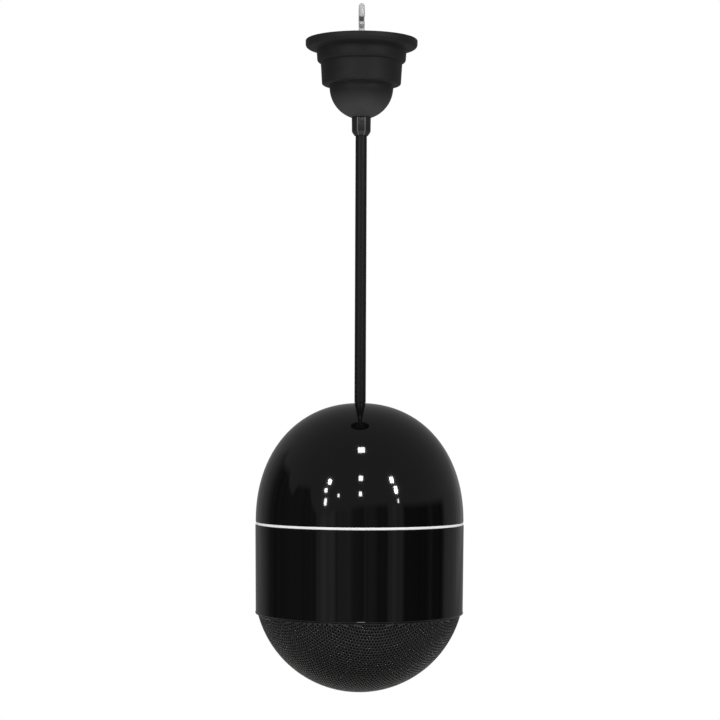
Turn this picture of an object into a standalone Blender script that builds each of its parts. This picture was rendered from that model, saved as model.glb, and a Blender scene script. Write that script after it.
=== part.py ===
"""Pendant speaker: a two-part capsule housing hung from a ceiling canopy on a steel rod.

Metres, +Z up. The origin is the point inside the eye hook where the ceiling's own hook bears,
so everything hangs below it on the rod's axis.
"""

import math

import bmesh
import bpy
from mathutils import Matrix, Vector

# Fits
GAP = 0.0003  # between pieces that touch or pass through each other
THIN_GAP = 0.0005  # radial play of the voice coil in the magnet's gap
ROUND = 36  # sides of the housing and the canopy
MEDIUM = 24  # sides of the driver's turned pieces
SMALL = 16  # sides of the rod and its fittings
TINY = 8  # sides of the screws and their holes

# Hook
HOOK_WIRE_R = 0.0030
EYE_BORE_R = 0.0070
EYE_ABOVE_RIM = 0.0240  # eye's centre above the canopy's rim
EYE_TURN = math.radians(4)
MOUTH_TOP = math.radians(9)  # the mouth's edges, from the horizontal towards the viewer
MOUTH_BOTTOM = math.radians(-29)
SHANK_LENGTH = 0.0300  # below the eye
LOCKNUT_FLATS = 2 * HOOK_WIRE_R + 0.0040
LOCKNUT_HEIGHT = 0.0050

# Rod
ROD_R = 0.0057
ROD_WALL = 0.0020
ROD_BORE_R = ROD_R - ROD_WALL
ROD_TOP_DROP = 0.0180  # rod's top below the canopy's rim
SUSPENSION = 0.3627  # canopy's rim to the dome's top
SHOULDER = 0.0008
SPIGOT_R = ROD_R - SHOULDER
SPIGOT_BELOW_NUT = 0.0024
SLOT_WIDTH = 0.0064
SLOT_TOP_DROP = 0.0340  # cable slot below the rim
SLOT_LENGTH = 0.0180

# Lock collar
COLLAR_SIDES = 8
COLLAR_WALL = 0.0039
COLLAR_TOP_FLAT = ROD_R + COLLAR_WALL  # centre to flat
COLLAR_TAPER = 0.0006
COLLAR_BOTTOM_FLAT = COLLAR_TOP_FLAT - COLLAR_TAPER
COLLAR_NOSE_WALL = 0.0009
COLLAR_NOSE_R = ROD_R + COLLAR_NOSE_WALL
COLLAR_LENGTH = 0.0182
COLLAR_NOSE = 0.0042  # height of the chamfered nose
COLLAR_EDGE = 0.0006
GRUB_R = 0.0020
GRUB_DROP = 0.0070  # grub screw below the collar's top

# Canopy
BOWL_R = 0.0319
BOWL_SHOULDER = 0.0077  # ledge between barrel and bowl
BARREL_BOTTOM_R = BOWL_R + BOWL_SHOULDER
BARREL_DRAFT = 0.0012
BARREL_TOP_R = BARREL_BOTTOM_R + BARREL_DRAFT
STEP_SHOULDER = 0.0036
STEP_R = BARREL_TOP_R + STEP_SHOULDER
FLANGE_WIDTH = 0.0116
FLANGE_R = STEP_R + FLANGE_WIDTH
FLANGE_BAND = 0.0042  # upright edge of the flange
FLANGE_ROUND = 0.0042
FLANGE_LEDGE = 0.0010  # straight stretch under the flange's rounded edge
FLANGE_DROP = FLANGE_BAND + FLANGE_ROUND + FLANGE_LEDGE
STEP_HEIGHT = 0.0132
STEP_DROP = FLANGE_DROP + STEP_HEIGHT
STEP_ROUND = 0.0034
BARREL_HEIGHT = 0.0225
BARREL_DROP = STEP_DROP + BARREL_HEIGHT
BARREL_ROUND = 0.0024
BOWL_NECK = 0.0019
BOWL_DROP = BARREL_DROP + BOWL_NECK  # bowl's centre below the rim
SEAT_MARGIN = 0.0006
SEAT_R = COLLAR_TOP_FLAT + SEAT_MARGIN  # flat at the bowl's bottom, where the collar presses
CANOPY_WALL = 0.0024
RIM_LAND = 0.0018  # flat width of the rim that meets the ceiling
EDGE_ROUND = 0.0006

# Hook socket, cross pin and terminal fittings
SOCKET_WALL = 0.0020
SOCKET_R = ROD_R + GAP + SOCKET_WALL
SOCKET_TOP_DROP = 0.0063
SOCKET_LENGTH = 0.0257
PIN_R = 0.0020
PIN_DROP = 0.0250
PIN_PROUD = 0.0006
BRACKET_SHEET = 0.0015
BRACKET_WIDTH = 0.0140
BRACKET_REACH = SOCKET_R + 0.0170
BLOCK_LENGTH = 0.0160  # along the bracket
BLOCK_WIDTH = 0.0200
BLOCK_HEIGHT = 0.0100
CLAMP_SCREW_R = 0.0017
CLAMP_SCREW_LENGTH = 0.0040
CLAMP_PITCH_X = 0.0100
CLAMP_PITCH_Y = 0.0120
CLAMP_RECESS = 0.0010
FIX_SCREW_R = 0.0013
FIX_SCREW_HEAD_R = 0.0028
FIX_SCREW_HEAD = 0.0018
FIX_SCREW_LENGTH = 0.0085

# Speaker cable
CABLE_R = 0.0025

# Lower shell, sized round the driver
FLANGE_OUTER_R = 0.0825  # driver's mounting flange
DRIVER_ROOM = 0.0171  # from the flange to the shell's wall
SHELL_WALL = 0.0028
LOWER_BOTTOM_R = FLANGE_OUTER_R + DRIVER_ROOM + SHELL_WALL
LOWER_DRAFT = 0.0017
LOWER_TOP_R = LOWER_BOTTOM_R + LOWER_DRAFT
LOWER_HEIGHT = 0.0892
LIP_HEIGHT = 0.0030
LIP_FLARE = 0.0004
BAFFLE_SHEET = 0.0040
BAFFLE_ABOVE_EDGE = 0.0132  # baffle's front above the shell's lower edge
BOSS_R = 0.0052
BOSS_INSET = 0.0096  # screw circle inside the shell's outer face
BOSS_CIRCLE_R = LOWER_TOP_R - BOSS_INSET
BOSS_TOP = 0.0290  # height of the dome's bosses above its edge
POST_WEB = 0.0130  # solid top of each screw post
SCREW_COUNT = 4
SHELL_SCREW_R = 0.0020
SHELL_SCREW_HEAD_R = 0.0035
SHELL_SCREW_HEAD = 0.0026
SHELL_SCREW_LENGTH = 0.0250

# Trim ring
RING_SETBACK = 0.0009
RING_R = LOWER_TOP_R - RING_SETBACK
RING_WIDTH = 0.0026
RING_INNER_R = RING_R - RING_WIDTH
RING_HEIGHT = 0.0025

# Dome shell
DOME_SETBACK = 0.0007
DOME_R = LOWER_TOP_R - DOME_SETBACK
DOME_RISE = 0.1182
DOME_FULLNESS = 2.147  # exponent of the dome's curve: 2 is an ellipse

# Rod washer, nut, hub and grommet
WASHER_R = 0.0250
WASHER_SHEET = 0.0020
HUB_MARGIN = 0.0030
HUB_R = WASHER_R + HUB_MARGIN  # thick pad under the dome's top
HUB_THICKNESS = 0.0070
NUT_WALL = 0.0036
NUT_FLATS = 2 * (SPIGOT_R + NUT_WALL)
NUT_HEIGHT = 0.0080
GROMMET_OVERLAP = 0.0007
GROMMET_R = SPIGOT_R + GROMMET_OVERLAP
GROMMET_HEAD = 0.0022
GROMMET_SLEEVE = 0.0060
GROMMET_WALL = 0.0006

# Grille
GRILLE_INSET = 0.0011
GRILLE_EDGE_R = LOWER_BOTTOM_R - GRILLE_INSET
GRILLE_DEPTH = 0.078235  # from its edge to its lowest point
GRILLE_SPHERE_R = (GRILLE_EDGE_R**2 + GRILLE_DEPTH**2) / (2 * GRILLE_DEPTH)
GRILLE_SHEET = 0.0012
GRILLE_BAND_PLAY = 0.0005
GRILLE_BAND_R = LOWER_BOTTOM_R - SHELL_WALL - GRILLE_BAND_PLAY  # band pressed into the shell
GRILLE_PITCH = 0.0195
GRILLE_WIRE = 0.0034
GRILLE_BORDER = 0.0087  # plain border round the mesh, measured over the curve
CLOTH_SHEET = 0.0008
CLOTH_SETBACK = 0.0009  # behind the mesh

# Driver
FLANGE_RING = 0.0120
FLANGE_INNER_R = FLANGE_OUTER_R - FLANGE_RING
CUTOUT_PLAY = 0.0015
DRIVER_CUTOUT_R = FLANGE_INNER_R + CUTOUT_PLAY
DRIVER_SCREW_INSET = 0.0055
DRIVER_SCREW_CIRCLE_R = FLANGE_OUTER_R - DRIVER_SCREW_INSET
GASKET_SHEET = 0.0015
BASKET_SHEET = 0.0018
DRIVER_SCREW_R = 0.0017
DRIVER_SCREW_HEAD_R = 0.0036
DRIVER_SCREW_HEAD = 0.0024
DRIVER_SCREW_LENGTH = 0.0120
ROLL_PLAY = 0.0010
ROLL_OUTER_R = FLANGE_INNER_R - ROLL_PLAY
ROLL_WIDTH = 0.0105
ROLL_INNER_R = ROLL_OUTER_R - ROLL_WIDTH
ROLL_DEPTH = 0.0055
ROLL_LAP = 0.0040  # width glued to the cone
RUBBER = 0.0010
CONE_DEPTH = 0.0290
CONE_BOW = 0.0018  # how far the cone's side curves out from a straight line
CONE_SHEET = 0.0009
FORMER_R = 0.0129
FORMER_SHEET = 0.0004
FORMER_LENGTH = 0.0400
FORMER_PROUD = 0.0030  # in front of the cone's neck
CAP_OVERLAP = 0.0071
CAP_R = FORMER_R + CAP_OVERLAP
CAP_DEPTH = 0.0080
WINDING = 0.0006
WINDING_LENGTH = 0.0120
WINDING_R = FORMER_R + GAP + WINDING
PLATE_BORE_R = WINDING_R + THIN_GAP
POLE_R = FORMER_R - FORMER_SHEET - THIN_GAP
MAGNET_SETBACK = 0.0027  # magnet's bore behind the top plate's
MAGNET_BORE_R = PLATE_BORE_R + MAGNET_SETBACK
MAGNET_WIDTH = 0.0250
MAGNET_R = MAGNET_BORE_R + MAGNET_WIDTH
MAGNET_HEIGHT = 0.0150
TOP_PLATE_INSET = 0.0060
TOP_PLATE_R = MAGNET_R - TOP_PLATE_INSET
TOP_PLATE_SHEET = 0.0060
BACK_PLATE_INSET = 0.0050
BACK_PLATE_R = MAGNET_R - BACK_PLATE_INSET
BACK_PLATE_SHEET = 0.0060
BASKET_TOP_INSET = 0.0020
BASKET_TOP_R = TOP_PLATE_R - BASKET_TOP_INSET
BASKET_RISE = 0.0550
SHELF_STEP = 0.0035
SHELF_INNER_R = BASKET_TOP_R + SHELF_STEP
SHELF_WIDTH = 0.0145
SHELF_OUTER_R = SHELF_INNER_R + SHELF_WIDTH
SHELF_RISE = 0.0330  # spider shelf above the flange
WINDOW_COUNT = 6
WINDOW_WIDTH = 0.0400
WINDOW_HEIGHT = 0.0200
SPIDER_SHEET = 0.0008
SPIDER_WAVE = 0.0016
SPIDER_WAVES = 3
STRIP_LENGTH = 0.0180
STRIP_WIDTH = 0.0080
STRIP_SHEET = 0.0020
STRIP_MARGIN = 0.0010
STRIP_X = SHELF_OUTER_R - STRIP_MARGIN - STRIP_WIDTH / 2
TAG_HEIGHT = 0.0060
TAG_SHEET = 0.0008
TAG_WIDTH = 0.0040
TAG_PITCH = 0.0110

# Levels, worked out from the sizes above
EYE_Z = -EYE_BORE_R
EYE_MID_R = EYE_BORE_R + HOOK_WIRE_R
RIM_Z = EYE_Z - EYE_ABOVE_RIM
SHANK_TOP = EYE_Z - EYE_MID_R
SHANK_BOTTOM = SHANK_TOP - SHANK_LENGTH
SOCKET_TOP = RIM_Z - SOCKET_TOP_DROP
SOCKET_BOTTOM = SOCKET_TOP - SOCKET_LENGTH
BRACKET_TOP = SOCKET_TOP + GAP + BRACKET_SHEET
ROD_TOP = RIM_Z - ROD_TOP_DROP
COLLAR_TOP = RIM_Z - BOWL_DROP - math.sqrt(BOWL_R**2 - SEAT_R**2) - GAP
DOME_TOP = RIM_Z - SUSPENSION
DOME_EDGE = DOME_TOP - DOME_RISE
WASHER_TOP = DOME_TOP - HUB_THICKNESS - GAP
NUT_TOP = WASHER_TOP - WASHER_SHEET - GAP
ROD_BOTTOM = NUT_TOP - NUT_HEIGHT - SPIGOT_BELOW_NUT
RING_TOP = DOME_EDGE - GAP
LOWER_TOP = RING_TOP - RING_HEIGHT - GAP
LOWER_EDGE = LOWER_TOP - LOWER_HEIGHT
BAFFLE_FRONT = LOWER_EDGE + BAFFLE_ABOVE_EDGE
BAFFLE_BACK = BAFFLE_FRONT + BAFFLE_SHEET
JOINT_Z = (DOME_EDGE + LOWER_TOP) / 2
POST_TOP = JOINT_Z - GAP / 2
SCREW_SEAT = POST_TOP - POST_WEB
GRILLE_EDGE = LOWER_EDGE - GAP
GRILLE_CENTRE = GRILLE_EDGE - GRILLE_DEPTH + GRILLE_SPHERE_R
LATTICE_REACH = GRILLE_SPHERE_R * math.asin(GRILLE_EDGE_R / GRILLE_SPHERE_R) - GRILLE_BORDER
GRILLE_TOP = BAFFLE_FRONT - GAP
GASKET_FRONT = BAFFLE_FRONT - GAP - GASKET_SHEET
FLANGE_BACK = GASKET_FRONT - GAP
FLANGE_FRONT = FLANGE_BACK - BASKET_SHEET
SHELF_FRONT = FLANGE_BACK + SHELF_RISE
SHELF_BACK = SHELF_FRONT + BASKET_SHEET
BASKET_BACK = FLANGE_BACK + BASKET_RISE
TOP_PLATE_FRONT = BASKET_BACK + GAP
TOP_PLATE_BACK = TOP_PLATE_FRONT + TOP_PLATE_SHEET
MAGNET_FRONT = TOP_PLATE_BACK + GAP
MAGNET_BACK = MAGNET_FRONT + MAGNET_HEIGHT
BACK_PLATE_FRONT = MAGNET_BACK + GAP
ROLL_PLANE = FLANGE_FRONT - GAP - RUBBER  # front face of the surround's outer rim
CONE_EDGE_R = ROLL_INNER_R - GAP
CONE_FRONT = ROLL_PLANE
CONE_NECK_Z = CONE_FRONT + CONE_DEPTH
CONE_NECK_R = FORMER_R + GAP
FORMER_FRONT = CONE_NECK_Z - FORMER_PROUD
STRIP_TOP = SHELF_BACK + GAP + STRIP_SHEET

for old in list(bpy.data.objects):
    bpy.data.objects.remove(old)

parts = bpy.data.collections.new("pendant_speaker")
cutters = bpy.data.collections.new("cutters")
bpy.context.scene.collection.children.link(parts)
bpy.context.scene.collection.children.link(cutters)


def finish(name, colour, roughness, metallic=0.0):
    """A plain surface for one kind of piece."""
    made = bpy.data.materials.new(name)
    made.use_nodes = True
    shader = made.node_tree.nodes["Principled BSDF"]
    shader.inputs["Base Color"].default_value = (*colour, 1.0)
    shader.inputs["Roughness"].default_value = roughness
    shader.inputs["Metallic"].default_value = metallic
    return made


gloss_black = finish("gloss_black", (0.012, 0.012, 0.013), 0.06)
matt_black = finish("matt_black", (0.030, 0.030, 0.032), 0.50)
satin_black = finish("satin_black", (0.014, 0.014, 0.015), 0.32)
mesh_black = finish("mesh_black", (0.020, 0.020, 0.021), 0.40)
zinc = finish("zinc", (0.55, 0.56, 0.57), 0.35, 1.0)
bright_metal = finish("bright_metal", (0.85, 0.86, 0.87), 0.15, 1.0)
brass = finish("brass", (0.72, 0.55, 0.25), 0.30, 1.0)
nylon = finish("nylon", (0.80, 0.79, 0.75), 0.50)
sheath = finish("sheath", (0.05, 0.05, 0.05), 0.55)
rubber = finish("rubber", (0.02, 0.02, 0.02), 0.70)
paper = finish("paper", (0.05, 0.05, 0.05), 0.80)
spider_cloth = finish("spider_cloth", (0.62, 0.45, 0.20), 0.90)
kapton = finish("kapton", (0.45, 0.25, 0.06), 0.45)
copper = finish("copper", (0.72, 0.35, 0.20), 0.30, 1.0)
ferrite = finish("ferrite", (0.06, 0.06, 0.06), 0.60)
phenolic = finish("phenolic", (0.30, 0.16, 0.07), 0.60)
black_cloth = finish("black_cloth", (0.008, 0.008, 0.008), 0.95)


def place(name, mesh, look, collection=parts):
    """An object of this mesh, as a piece or as a cutter."""
    obj = bpy.data.objects.new(name, mesh)
    collection.objects.link(obj)
    if look:
        mesh.materials.append(look)
    if collection == cutters:
        obj.hide_render = True
        obj.display_type = "WIRE"
    return obj


def mesh_of(name, bm):
    """A mesh datablock from a bmesh, shaded smooth up to sharp edges."""
    bmesh.ops.recalc_face_normals(bm, faces=bm.faces)
    mesh = bpy.data.meshes.new(name)
    bm.to_mesh(mesh)
    bm.free()
    mesh.shade_smooth()
    mesh.set_sharp_from_angle(angle=math.radians(35))
    return mesh


def turned(name, profile, look, sides=ROUND, collection=parts):
    """A turned piece. Its profile of (radius, height) runs down the outside, and closes on itself
    unless both its ends are on the axis."""
    mesh = bpy.data.meshes.new(name)
    count = len(profile)
    edges = [(i, i + 1) for i in range(count - 1)]
    if profile[0][0] > 0 or profile[-1][0] > 0:
        edges.append((count - 1, 0))
    mesh.from_pydata([(r, 0.0, z) for r, z in profile], edges, [])
    obj = place(name, mesh, look, collection)
    screw = obj.modifiers.new("turn", "SCREW")
    screw.axis = "Z"
    screw.steps = screw.render_steps = sides
    screw.use_merge_vertices = True
    screw.merge_threshold = 0.00001
    screw.use_smooth_shade = True
    return obj


def arc(centre_r, centre_z, radius, start, end, steps):
    """Points of a round stretch of a profile. The angles are in degrees from the outward direction."""
    return [
        (
            centre_r + radius * math.cos(math.radians(start + (end - start) * i / steps)),
            centre_z + radius * math.sin(math.radians(start + (end - start) * i / steps)),
        )
        for i in range(steps + 1)
    ]


def tube(name, outer_r, inner_r, top, bottom, look, sides):
    """A plain ring or tube on the rod's axis."""
    profile = [(outer_r, top), (outer_r, bottom), (inner_r, bottom), (inner_r, top)]
    return turned(name, profile, look, sides)


def rod_cutter(name, radius, length, centre, axis="Z", sides=SMALL):
    """A cylinder that cuts a hole."""
    bm = bmesh.new()
    bmesh.ops.create_cone(
        bm, cap_ends=True, segments=sides, radius1=radius, radius2=radius, depth=length
    )
    if axis == "Y":
        bmesh.ops.rotate(bm, verts=bm.verts, matrix=Matrix.Rotation(math.pi / 2, 3, "X"))
    bmesh.ops.translate(bm, verts=bm.verts, vec=centre)
    return place(name, mesh_of(name, bm), None, cutters)


def box_mesh(name, low, high):
    """A box between two corners."""
    bm = bmesh.new()
    bmesh.ops.create_cube(bm, size=1.0)
    size = [high[i] - low[i] for i in range(3)]
    middle = [(high[i] + low[i]) / 2 for i in range(3)]
    bmesh.ops.scale(bm, vec=size, verts=bm.verts)
    bmesh.ops.translate(bm, vec=middle, verts=bm.verts)
    return mesh_of(name, bm)


def boolean(obj, other, operation="DIFFERENCE"):
    """Cuts the other object out of this one, or joins it on."""
    step = obj.modifiers.new(other.name, "BOOLEAN")
    step.operation = operation
    step.solver = "EXACT"
    step.object = other


def around(count, radius, first=0.0):
    """Places spaced evenly round the rod's axis, as (x, y, angle)."""
    for i in range(count):
        angle = math.radians(first) + 2 * math.pi * i / count
        yield radius * math.cos(angle), radius * math.sin(angle), angle


def hexagon(name, flats, top, bottom, bore_r, look):
    """A hexagon nut on the rod's axis."""
    corner_r = flats / 2 / math.cos(math.pi / 6)
    profile = [(0.0, top), (corner_r, top), (corner_r, bottom), (0.0, bottom)]
    obj = turned(name, profile, look, 6)
    hole = rod_cutter(name + "_bore", bore_r, 2 * (top - bottom), (0, 0, (top + bottom) / 2))
    boolean(obj, hole)
    return obj


def screw_profile(head_r, head, shank_r, length):
    """A pan head screw, head up, with the head's underside at zero."""
    crown = head_r * 0.62
    return [
        (0.0, head),
        (crown, head),
        (head_r, head * 0.35),
        (head_r, 0.0),
        (shank_r, 0.0),
        (shank_r, -length + shank_r),
        (shank_r * 0.3, -length),
        (0.0, -length),
    ]


def driver_slot(name, width, reach, depth, top):
    """The cross that a screwdriver turns: two bars, cut one after the other."""
    along = box_mesh(name + "_a", (-reach, -width, top - depth), (reach, width, top + depth))
    across = box_mesh(name + "_b", (-width, -reach, top - depth), (width, reach, top + depth))
    return [place(name + "_a", along, None, cutters), place(name + "_b", across, None, cutters)]


def screw_mesh(name, head_r, head, shank_r, length, look):
    """The mesh that all screws of one kind share."""
    pattern = turned(name, screw_profile(head_r, head, shank_r, length), look, TINY, cutters)
    for bar in driver_slot(name, head_r * 0.11, head_r * 0.5, head * 0.5, head):
        boolean(pattern, bar)
    return settled(pattern)


def settled(obj):
    """The mesh of an object with its modifiers applied."""
    bpy.context.view_layer.update()
    graph = bpy.context.evaluated_depsgraph_get()
    return bpy.data.meshes.new_from_object(obj.evaluated_get(graph))


def copies(name, mesh, spots, flip=False):
    """One object for each spot, all with one mesh. A flipped screw has its head down."""
    for i, (x, y, z) in enumerate(spots, 1):
        obj = bpy.data.objects.new(f"{name}_{i}", mesh)
        parts.objects.link(obj)
        obj.location = (x, y, z)
        if flip:
            obj.rotation_euler = (math.pi, 0, 0)


def smooth_route(points, spacing):
    """Points along a smooth curve through the route's own points, about this far apart."""
    route = [Vector(p) for p in points]
    ends = [2 * route[0] - route[1]] + route + [2 * route[-1] - route[-2]]
    made = []
    for i in range(1, len(ends) - 2):
        before, here, there, after = ends[i - 1 : i + 3]
        steps = max(1, round((there - here).length / spacing))
        for k in range(steps):
            t = k / steps
            made.append(
                0.5
                * (
                    2 * here
                    + (there - before) * t
                    + (2 * before - 5 * here + 4 * there - after) * t**2
                    + (3 * here - before - 3 * there + after) * t**3
                )
            )
    made.append(route[-1])
    return made


def wire(name, points, radius, look, resolution=2):
    """A round wire along these points, as a mesh."""
    curve = bpy.data.curves.new(name, "CURVE")
    curve.dimensions = "3D"
    curve.bevel_depth = radius
    curve.bevel_resolution = resolution
    curve.use_fill_caps = True
    spline = curve.splines.new("POLY")
    spline.points.add(len(points) - 1)
    for point, at in zip(spline.points, points):
        point.co = (*at, 1.0)
    guide = bpy.data.objects.new(name + "_curve", curve)
    cutters.objects.link(guide)
    mesh = settled(guide)
    bpy.data.objects.remove(guide)
    bm = bmesh.new()
    bm.from_mesh(mesh)
    bmesh.ops.remove_doubles(bm, verts=bm.verts, dist=0.00001)
    bm.to_mesh(mesh)
    bm.free()
    mesh.shade_smooth()
    mesh.set_sharp_from_angle(angle=math.radians(50))
    mesh.materials.clear()
    return place(name, mesh, look)


def make_hook():
    """Open eye hook: a wire ring with a mouth towards the viewer, on a threaded shank."""
    steps = 28
    first = math.pi - MOUTH_TOP
    last = math.pi - MOUTH_BOTTOM - 2 * math.pi
    ring = []
    for i in range(steps + 1):
        angle = first + (last - first) * i / steps
        flat = EYE_MID_R * math.cos(angle)
        ring.append((-flat * math.sin(EYE_TURN), flat * math.cos(EYE_TURN), EYE_Z + EYE_MID_R * math.sin(angle)))
    hook = wire("eye_hook", ring, HOOK_WIRE_R, zinc)
    middle = (SHANK_TOP + SHANK_BOTTOM) / 2
    shank = rod_cutter("hook_shank", HOOK_WIRE_R * 0.98, SHANK_LENGTH, (0, 0, middle))
    boolean(hook, shank, "UNION")


def make_hook_fittings():
    """Lock nut, socket and cross pin: what joins the hook to the rod."""
    nut_bottom = BRACKET_TOP + GAP
    hexagon(
        "hook_locknut", LOCKNUT_FLATS, nut_bottom + LOCKNUT_HEIGHT, nut_bottom, HOOK_WIRE_R + GAP, zinc
    )
    step = ROD_TOP + GAP
    shank_bore = HOOK_WIRE_R + GAP
    rod_bore = ROD_R + GAP
    profile = [
        (SOCKET_R - EDGE_ROUND, SOCKET_TOP),
        (SOCKET_R, SOCKET_TOP - EDGE_ROUND),
        (SOCKET_R, SOCKET_BOTTOM + EDGE_ROUND),
        (SOCKET_R - EDGE_ROUND, SOCKET_BOTTOM),
        (rod_bore, SOCKET_BOTTOM),
        (rod_bore, step),
        (shank_bore, step),
        (shank_bore, SOCKET_TOP),
    ]
    socket = turned("hook_socket", profile, zinc, SMALL)
    pin_z = RIM_Z - PIN_DROP
    hole = rod_cutter("pin_hole", PIN_R + GAP, 3 * SOCKET_R, (0, 0, pin_z), "Y", TINY)
    boolean(socket, hole)
    pin = rod_cutter("pin_shape", PIN_R, 2 * (SOCKET_R + PIN_PROUD), (0, 0, pin_z), "Y", TINY)
    place("socket_cross_pin", pin.data.copy(), zinc)
    return hole


def make_terminals():
    """Bracket, terminal block and their screws, hung under the lock nut inside the canopy."""
    half = BRACKET_WIDTH / 2
    block_x = BRACKET_REACH - BLOCK_LENGTH / 2
    bracket = place(
        "terminal_bracket",
        box_mesh(
            "terminal_bracket",
            (-half, -half, SOCKET_TOP + GAP),
            (BRACKET_REACH, half, SOCKET_TOP + GAP + BRACKET_SHEET),
        ),
        zinc,
    )
    shank_hole = rod_cutter("bracket_hole", HOOK_WIRE_R + GAP, 4 * BRACKET_SHEET, (0, 0, BRACKET_TOP))
    screw_hole = rod_cutter(
        "fix_hole", FIX_SCREW_R + GAP, 4 * BRACKET_SHEET, (block_x, 0, BRACKET_TOP), "Z", TINY
    )
    boolean(bracket, shank_hole)
    boolean(bracket, screw_hole)

    block_top = SOCKET_TOP
    block_bottom = block_top - BLOCK_HEIGHT
    block = place(
        "terminal_block",
        box_mesh(
            "terminal_block",
            (block_x - BLOCK_LENGTH / 2, -BLOCK_WIDTH / 2, block_bottom),
            (block_x + BLOCK_LENGTH / 2, BLOCK_WIDTH / 2, block_top),
        ),
        nylon,
    )
    fix_depth = FIX_SCREW_LENGTH + 2 * GAP
    fix_top = BRACKET_TOP + GAP
    blind = rod_cutter(
        "block_fix_hole", FIX_SCREW_R + GAP, fix_depth, (block_x, 0, fix_top - fix_depth / 2), "Z", TINY
    )
    boolean(block, blind)
    spots = []
    for side_x in (-0.5, 0.5):
        for side_y in (-0.5, 0.5):
            x = block_x + side_x * CLAMP_PITCH_X
            y = side_y * CLAMP_PITCH_Y
            spots.append((x, y, block_bottom + CLAMP_RECESS + CLAMP_SCREW_LENGTH))
            well_depth = CLAMP_RECESS + CLAMP_SCREW_LENGTH + GAP
            well = rod_cutter(
                f"clamp_well_{len(spots)}",
                CLAMP_SCREW_R + GAP,
                2 * well_depth,
                (x, y, block_bottom),
                "Z",
                TINY,
            )
            boolean(block, well)
    clamp = turned(
        "clamp_pattern",
        [
            (0.0, 0.0),
            (CLAMP_SCREW_R, 0.0),
            (CLAMP_SCREW_R, -CLAMP_SCREW_LENGTH),
            (0.0, -CLAMP_SCREW_LENGTH),
        ],
        brass,
        TINY,
        cutters,
    )
    slot_depth = CLAMP_SCREW_LENGTH * 0.25
    slot = place(
        "clamp_slot",
        box_mesh(
            "clamp_slot",
            (-2 * CLAMP_SCREW_R, -CLAMP_SCREW_R * 0.2, -CLAMP_SCREW_LENGTH - slot_depth),
            (2 * CLAMP_SCREW_R, CLAMP_SCREW_R * 0.2, -CLAMP_SCREW_LENGTH + slot_depth),
        ),
        None,
        cutters,
    )
    boolean(clamp, slot)
    copies("clamp_screw", settled(clamp), spots)
    fix = screw_mesh(
        "fix_pattern", FIX_SCREW_HEAD_R, FIX_SCREW_HEAD, FIX_SCREW_R, FIX_SCREW_LENGTH, zinc
    )
    copies("block_screw", fix, [(block_x, 0, fix_top)])
    return block_x, block_bottom


def make_canopy():
    """Ceiling canopy: flange, step, barrel and bowl in one moulding, open at the top."""
    bowl_z = RIM_Z - BOWL_DROP
    seat_angle = math.degrees(math.acos(SEAT_R / BOWL_R))
    bore = ROD_R + 2 * GAP
    inner_bowl = BOWL_R - CANOPY_WALL
    inner_step = STEP_R - CANOPY_WALL
    inner_barrel = BARREL_TOP_R - CANOPY_WALL
    land_r = FLANGE_R - EDGE_ROUND - RIM_LAND
    step_bottom = RIM_Z - STEP_DROP
    barrel_bottom = RIM_Z - BARREL_DROP
    profile = [
        (FLANGE_R - EDGE_ROUND, RIM_Z),
        (FLANGE_R, RIM_Z - EDGE_ROUND),
        *arc(FLANGE_R - FLANGE_ROUND, RIM_Z - FLANGE_BAND, FLANGE_ROUND, 0, -90, 3),
        (STEP_R + CANOPY_WALL, RIM_Z - FLANGE_DROP),
        (STEP_R + EDGE_ROUND, RIM_Z - FLANGE_DROP - CANOPY_WALL / 2),
        *arc(STEP_R - STEP_ROUND, step_bottom + STEP_ROUND, STEP_ROUND, 0, -75, 2),
        (BARREL_TOP_R, step_bottom - EDGE_ROUND / 2),
        *arc(
            BARREL_BOTTOM_R - BARREL_ROUND, barrel_bottom + BARREL_ROUND, BARREL_ROUND, 0, -90, 2
        ),
        (BOWL_R + EDGE_ROUND, barrel_bottom - EDGE_ROUND / 2),
        *arc(0, bowl_z, BOWL_R, 0, -seat_angle, 6),
        (bore, bowl_z - math.sqrt(BOWL_R**2 - SEAT_R**2)),
        (bore, bowl_z - math.sqrt(inner_bowl**2 - bore**2)),
        *arc(0, bowl_z, inner_bowl, -55, 0, 3),
        (inner_bowl, barrel_bottom + CANOPY_WALL),
        (BARREL_BOTTOM_R - CANOPY_WALL, barrel_bottom + CANOPY_WALL),
        (inner_barrel, step_bottom + CANOPY_WALL),
        (inner_step - EDGE_ROUND, step_bottom + CANOPY_WALL),
        (inner_step, RIM_Z - FLANGE_DROP + CANOPY_WALL),
        (land_r, RIM_Z - FLANGE_BAND),
        (land_r, RIM_Z),
    ]
    turned("canopy", profile, matt_black)


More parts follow.
